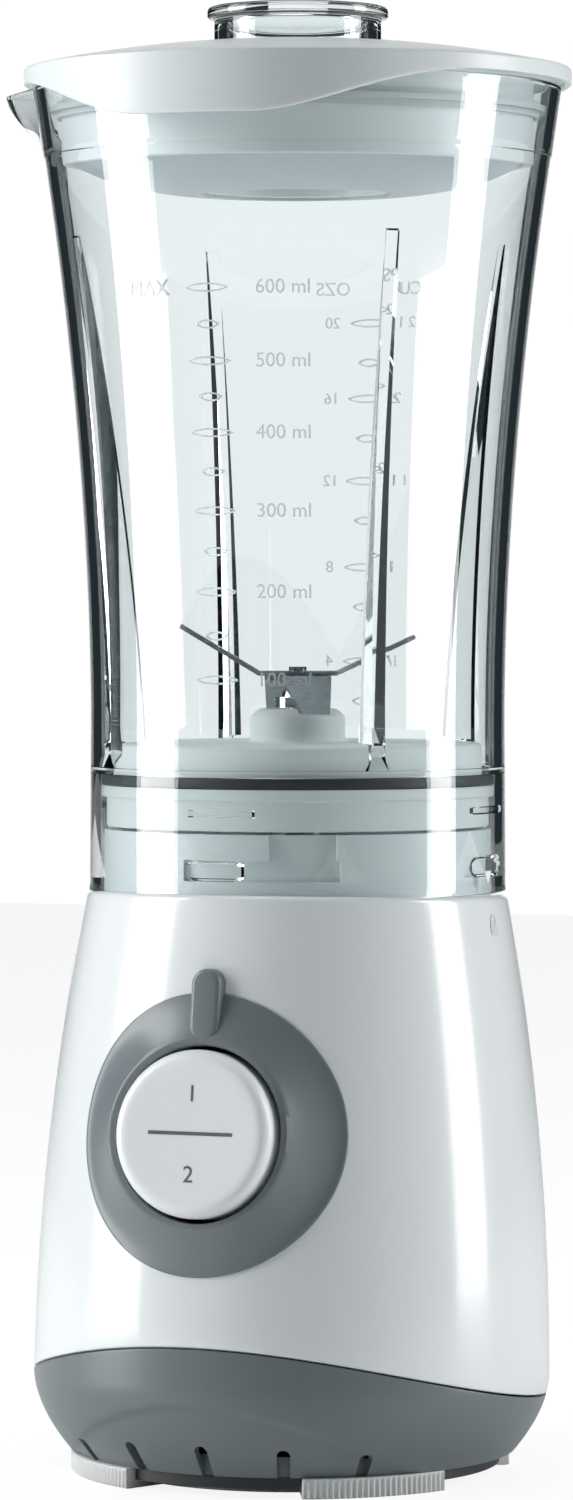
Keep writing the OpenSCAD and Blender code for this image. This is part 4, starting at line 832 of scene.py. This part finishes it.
def makeScale():
    bm = bmesh.new()
    height, small, stops = scale["height"], scale["height"] * 0.85, list(scale["majorZ"])

    def addWords(words, size, angle, z):
        append(bm, wrapOnJug(lettering(words, size, scale["relief"]), angle, z))

    def addTick(size, angle, z):
        append(bm, wrapOnJug(lensTick(*size), angle, z))

    for word, z in zip(scale["words"], stops):
        addWords(word, height, scale["wordAngle"], z)
        addTick(scale["major"], 0, z)
    for upper, lower in zip(stops, stops[1:]):
        addTick(scale["minor"], 0, (upper + lower) / 2)
    addWords("MAX", scale["maxHeight"], scale["maxAngle"], stops[0])
    for ounce, cup, z in zip(scale["ounces"], scale["cups"], scale["backZ"]):
        addWords(ounce, small, scale["ounceAngle"], z)
        addWords(cup, small, scale["cupAngle"], z)
        addTick(scale["major"], scale["tickAngle"], z)
        addTick(scale["minor"], scale["tickAngle"], z - 8.8)
    for word, angle in (("OZS", scale["ounceAngle"]), ("CUPS", scale["cupAngle"])):
        addWords(word, height, angle, scale["backWords"])
    bmesh.ops.remove_doubles(bm, verts=bm.verts, dist=1e-7)
    return settle(meshObject("jug_scale", bm), "raisedScale", "jug", ())


makeJug()
makeScale()
print("jug made")

# Marks on the skirt and the housing

lockMarks = dict(angle=86.0, arrowZ=128.0, arrow=1.9, lockZ=116.6, lockBody=(3.4, 2.6), lockRing=1.05)


def makeArrow():
    part = bmesh.new()
    bmesh.ops.create_circle(part, cap_ends=True, segments=3, radius=lockMarks["arrow"] * mm)
    turnVerts(part, part.verts, 180)
    bmesh.ops.solidify(part, geom=list(part.faces), thickness=0.15 * mm)
    for vert in part.verts:
        vert.co.z = abs(vert.co.z)
    bmesh.ops.recalc_face_normals(part, faces=part.faces)
    wrapOnJug(part, lockMarks["angle"], lockMarks["arrowZ"])
    return settle(meshObject("skirt_arrow", part), "printWhite", "jug", ())


def makePadlock():
    bm = bmesh.new()
    bmesh.ops.create_grid(bm, x_segments=6, y_segments=4, size=0.5)
    wide, high = lockMarks["lockBody"]
    bmesh.ops.scale(bm, verts=bm.verts, vec=(wide * mm, high * mm, 1))
    bow = bmesh.new()
    bmesh.ops.create_circle(bow, cap_ends=True, segments=32, radius=(lockMarks["lockRing"] + 0.3) * mm)
    bmesh.ops.inset_region(bow, faces=list(bow.faces), thickness=0.55 * mm, depth=0, use_boundary=True)
    bmesh.ops.delete(bow, geom=[max(bow.faces, key=lambda f: len(f.verts))], context="FACES_ONLY")
    bmesh.ops.translate(bow, verts=bow.verts, vec=(0, (high / 2 + 0.5) * mm, 0))
    append(bm, bow)
    bmesh.ops.solidify(bm, geom=list(bm.faces), thickness=0.08 * mm)
    bmesh.ops.recalc_face_normals(bm, faces=bm.faces)
    for vert in bm.verts:
        x, up, out = vert.co / mm
        z = lockMarks["lockZ"] + up
        r = baseRadius(z) + 0.05 + abs(out)
        turn = radians(lockMarks["angle"]) + x / r
        vert.co = (r * sin(turn) * mm, -r * cos(turn) * mm, z * mm)
    bmesh.ops.transform(bm, matrix=leanMatrix, verts=bm.verts)
    bmesh.ops.recalc_face_normals(bm, faces=bm.faces)
    return settle(meshObject("padlock_mark", bm), "printPale", "base", ())


makeArrow()
makePadlock()

# Blade unit in the jug's foot

unit = dict(discR=39.5, discZ=155.6, discT=2.6, hubR=10.2, hubTop=162.9, lowHubR=9.0, lowHubZ=137.0,
            flangeR=42.1, flangeZ=146.8, skirtR=41.0, skirtZ=138.0, innerR=37.1, gasketTop=149.2,
            boreR=5.05, flangeT=2.4)


def makeBladeBase():
    discR, discZ, underZ = unit["discR"], unit["discZ"], unit["discZ"] - unit["discT"]
    hubR, hubTop, boreR = unit["hubR"], unit["hubTop"], unit["boreR"]
    skirtR, skirtZ, innerR = unit["skirtR"], unit["skirtZ"], unit["innerR"]
    lowHubR, lowHubZ = unit["lowHubR"], unit["lowHubZ"]
    flangeR, flangeZ, flangeLow = unit["flangeR"], unit["flangeZ"], unit["flangeZ"] - unit["flangeT"]
    corners = [(discR, discZ, 0.8), (hubR, discZ, 1.2), (hubR, hubTop - 1.6, 0.5), (hubR - 1.9, hubTop, 0.5),
               (boreR, hubTop, 0.3), (boreR, lowHubZ, 0), (lowHubR, lowHubZ, 0.5), (lowHubR, underZ, 1.0),
               (innerR, underZ, 1.2), (innerR, skirtZ, 0.4), (skirtR, skirtZ, 0.4), (skirtR, flangeLow, 0.3),
               (flangeR, flangeLow, 0.4), (flangeR, flangeZ, 0.2), (discR, flangeZ, 0)]
    bm = turned(filleted(corners), fineSteps)
    return settle(meshObject("blade_seat", bm), "frosted", "blade_unit", ["blade_base"],
                  40)


def makeGasket():
    gap = 0.02
    inR, outR = unit["discR"] + gap, unit["flangeR"]
    low, high = unit["flangeZ"] + gap, unit["gasketTop"] - gap
    bm = turned(filleted([(inR, low, 0.2), (outR, low, 0.5), (outR, high, 0.5), (inR, high, 0.5)]), fineSteps)
    return settle(meshObject("seat_gasket", bm), "darkRubber", "blade_unit", ["base_gasket"],
                  50)


makeBladeBase()
makeGasket()
print("blade unit made")

# Lid and filler cap

lid = dict(r=58.6, edgeZ=299.4, lowZ=296.1, dome=6.1, apronR=57.0, apronZ=286.5, apronFlat=21.0,
           apronWide=51.0, wall=2.2, plugZ=278.5, plugR=50.4, plugWall=2.3, fillerR=20.2, fillerIn=18.2,
           fillerZ=273.5,
           linerDrop=5.6, linerT=1.6, linerWall=9.0)
domeR = (lid["r"] ** 2 + lid["dome"] ** 2) / (2 * lid["dome"])


def domeHeight(r):
    return lid["edgeZ"] + lid["dome"] - domeR + sqrt(domeR * domeR - r * r)


# Lower edge of the aprons, which hang down at the front and the back
def apronHeight(x):
    t = smoothStep(lid["apronFlat"] - 9, lid["apronWide"] + 2, abs(x))
    return lid["apronZ"] + (lid["lowZ"] - lid["apronZ"]) * t


def makeLid():
    r, low = lid["r"], lid["lowZ"]
    plugIn = lid["plugR"] - lid["plugWall"]
    across = [lid["fillerR"] + 2 + (r - 4 - lid["fillerR"]) * i / 12 for i in range(13)]
    corners = [(lid["fillerIn"], domeHeight(lid["fillerIn"]), 0.8)]
    corners += [(radius, domeHeight(radius), 0) for radius in across if radius < r - 2]
    corners += [(r, lid["edgeZ"], 1.1), (r, low + 2.2, 0), (r, low + 1.4, 0), (r, low + 0.7, 0),
                (r, low, 0.35), (lid["apronR"], low, 0.35), (lid["apronR"], low + 0.75, 0),
                (lid["plugR"], low + 0.8, 0.3),
                (lid["plugR"], lid["plugZ"], 0.5), (plugIn, lid["plugZ"], 0.5),
                (plugIn, domeHeight(plugIn) - lid["wall"], 1.0),
                (lid["fillerR"], domeHeight(lid["fillerR"]) - lid["wall"], 0.6),
                (lid["fillerR"], lid["fillerZ"], 0.4), (lid["fillerIn"], lid["fillerZ"], 0.4)]
    bm = turned(filleted(corners), fineSteps)
    for vert in bm.verts:
        x, y, z = vert.co / mm
        if sqrt(x * x + y * y) > lid["apronR"] - 0.05 and z < low + 2.21:
            drop = apronHeight(x) - low
            share = min(1.0, (low + 2.2 - z) / 2.2)
            vert.co.z += drop * share * mm
    bmesh.ops.recalc_face_normals(bm, faces=bm.faces)
    return settle(meshObject("lid_top", bm), "whiteLid", "lid", ["lid"], 40)


def makeLiner():
    outR, inR = lid["plugR"] - lid["plugWall"] - 0.02, lid["fillerR"] + 0.02
    rows = [(inR + (outR - inR) * i / 10, i / 10) for i in range(11)]
    bowl = [(r, lid["plugZ"] - lid["linerDrop"] * (1 - t * t)) for r, t in rows]
    path = bowl + [(outR, lid["plugZ"] + lid["linerWall"]), (outR - 1.4, lid["plugZ"] + lid["linerWall"])]
    path += [(min(r, outR - 1.4), z + lid["linerT"]) for r, z in reversed(bowl)]
    # the liner's white plastic carries painted shade in its darker grey-blue colour
    return settle(meshObject("liner_bowl", turned(path, fineSteps)), "whiteLinerPaintedShade", "lid", ["lid_liner"],
                  40)


cap = dict(r=17.9, wall=2.5, lowZ=275.9, topZ=312.8, flangeR=19.4, flangeT=2.5)


def makeCap():
    r, low, top, flangeR = cap["r"], cap["lowZ"], cap["topZ"], cap["flangeR"]
    inner, under = r - cap["wall"], top - cap["flangeT"]
    path = filleted([(0.0, top, 0), (flangeR, top, 1.1), (flangeR, under, 0.9), (r, under, 0.5),
                     (r, low, 0.5), (inner, low, 0.5), (inner, under, 1.2), (0.0, under, 0)], closed=False)
    return settle(meshObject("measuring_cap", turned(path, fineSteps, closed=False)), "clearCap", "cap",
                  ["filler_cap"], 50)


makeLid()
makeLiner()
makeCap()
print("lid and cap made")

# The other CAD nodes keep their meshes and take a finish

nodeFinish = dict(
    whiteCollar=("bayonet_collar",),
    blackPlastic=("bottom_plate", "switch_frame", "speed_switches", "cord_bush", "cord_clamp", "fan_baffle",
                  "drive_coupling", "driven_coupling", "speed_diode"),
    darkRubber=("shaft_seal", "deck_seal", "motor_mounts"),
    paleRubber=("lid_seal",),
    steel=("pivot_pin", "frame_screws", "upper_bearing", "lower_bearing", "brush_springs", "mount_screws",
           "stator_bolts", "clamp_screws", "base_screws", "collar_screws", "motor_shaft", "blade_shaft",
           "thrust_washer"),
    bladeSteel=("lower_blade", "upper_blade"),
    polishedSteel=("blade_spacer", "blade_screw"),
    castZinc=("upper_bracket", "lower_bracket"),
    lamination=("stator_core", "armature_core"),
    enamelledCopper=("field_coils", "armature_winding"),
    copper=("commutator",),
    brass=("brush_holders",),
    bronze=("shaft_bush",),
    carbon=("carbon_brushes",),
    nylon=("cooling_fan",),
    boardGreen=("speed_board",),
    capacitorFilm=("capacitor",),
    redPlastic=("upper_plunger", "lower_plunger"),
)
for name, nodes in nodeFinish.items():
    for node in nodes:
        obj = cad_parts[node]
        if not obj.material_slots:
            obj.data.materials.append(finish[name])
        for slotIndex in range(len(obj.material_slots)):
            obj.material_slots[slotIndex].material = finish[name]
print("inner pieces finished")

# Studio

studio = dict(floor=2.0, backdrop=(3.06, 6.32), backdropFar=8.0, backdropUp=0.5, backdropGlow=1.02)


def areaLight(name, place, target, size, power):
    data = bpy.data.lights.new(name, "AREA")
    data.shape, data.energy = "RECTANGLE", power
    data.size, data.size_y = size
    obj = bpy.data.objects.new(name, data)
    obj.location = place
    obj.rotation_euler = (Vector(target) - Vector(place)).to_track_quat("-Z", "Y").to_euler()
    bpy.context.scene.collection.objects.link(obj)
    return obj


def makeFloor():
    bm = bmesh.new()
    bmesh.ops.create_grid(bm, x_segments=8, y_segments=8, size=studio["floor"])
    obj = meshObject("floor", bm)
    material, tree, shader = newMaterial("paleFloor")
    skin = placeGroup(tree, mouldedSkin, {"Color": (0.93, 0.93, 0.93, 1), "Roughness": 0.7,
                                          "Grain Scale": 300.0, "Grain": 0.05, "Clouds": 0.01,
                                          "Marks": 0.05})
    tree.links.new(skin.outputs["Color"], shader.inputs["Base Color"])
    tree.links.new(skin.outputs["Roughness"], shader.inputs["Roughness"])
    lit = addNode(tree, "Emission", Strength=1.1)      # keeps the floor as pale as the background
    rays = tree.nodes.new("ShaderNodeLightPath")
    seen = mathNode(tree, "MAXIMUM", rays.outputs["Is Camera Ray"], rays.outputs["Is Transmission Ray"])
    seen = mathNode(tree, "MULTIPLY", seen, 0.8)
    mix = tree.nodes.new("ShaderNodeMixShader")
    tree.links.new(seen, mix.inputs[0])
    tree.links.new(shader.outputs[0], mix.inputs[1])
    tree.links.new(lit.outputs[0], mix.inputs[2])
    tree.links.new(mix.outputs[0], tree.nodes["Material Output"].inputs["Surface"])
    obj.data.materials.append(material)


# A glowing panel far behind the jug, held opposite the camera and seen only from its front
def makeBackdrop():
    bm = bmesh.new()
    bmesh.ops.create_grid(bm, x_segments=4, y_segments=4, size=0.5)
    bmesh.ops.scale(bm, verts=bm.verts, vec=(studio["backdrop"][0], studio["backdrop"][1], 1))
    obj = meshObject("backdrop", bm)
    material = bpy.data.materials.new("backdropGlow")
    material.use_nodes = True
    tree = material.node_tree
    tree.nodes.clear()
    out = tree.nodes.new("ShaderNodeOutputMaterial")
    glow = addNode(tree, "Emission", Strength=studio["backdropGlow"])
    gone = tree.nodes.new("ShaderNodeBsdfTransparent")
    side = tree.nodes.new("ShaderNodeNewGeometry")
    mix = tree.nodes.new("ShaderNodeMixShader")
    tree.links.new(side.outputs["Backfacing"], mix.inputs[0])
    tree.links.new(glow.outputs[0], mix.inputs[1])
    tree.links.new(gone.outputs[0], mix.inputs[2])
    tree.links.new(mix.outputs[0], out.inputs[0])
    obj.data.materials.append(material)
    obj.parent = bpy.context.scene.camera
    obj.location = (0, studio["backdropUp"], -studio["backdropFar"])


def makeWorld():
    world = bpy.data.worlds.new("studio")
    bpy.context.scene.world = world
    world.use_nodes = True
    tree = world.node_tree
    tree.nodes.clear()
    out = tree.nodes.new("ShaderNodeOutputWorld")
    rays = tree.nodes.new("ShaderNodeLightPath")
    shades = [addNode(tree, "Background", Color=colour, Strength=strength) for colour, strength in (
        ((0.62, 0.88, 1.0, 1), 0.03), ((0.8, 0.95, 1.0, 1), 0.12), ((1, 1, 1, 1), 1.15))]
    fill = tree.nodes.new("ShaderNodeMixShader")
    mix = tree.nodes.new("ShaderNodeMixShader")
    tree.links.new(rays.outputs["Is Diffuse Ray"], fill.inputs[0])
    tree.links.new(shades[0].outputs[0], fill.inputs[1])
    tree.links.new(shades[1].outputs[0], fill.inputs[2])
    tree.links.new(rays.outputs["Is Camera Ray"], mix.inputs[0])
    tree.links.new(fill.outputs[0], mix.inputs[1])
    tree.links.new(shades[2].outputs[0], mix.inputs[2])
    tree.links.new(mix.outputs[0], out.inputs[0])


makeFloor()
makeBackdrop()
makeWorld()
areaLight("softLeft", (-1.0, -0.52, 0.42), (0, 0, 0.13), (0.6, 1.1), 14.5)
areaLight("softRight", (1.08, 0.36, 0.4), (0, 0, 0.13), (0.4, 1.1), 11)
areaLight("top", (-0.1, -0.1, 1.3), (0, 0, 0.2), (0.7, 0.7), 3)
bpy.context.scene.view_settings.view_transform = "Standard"
print("studio lit")
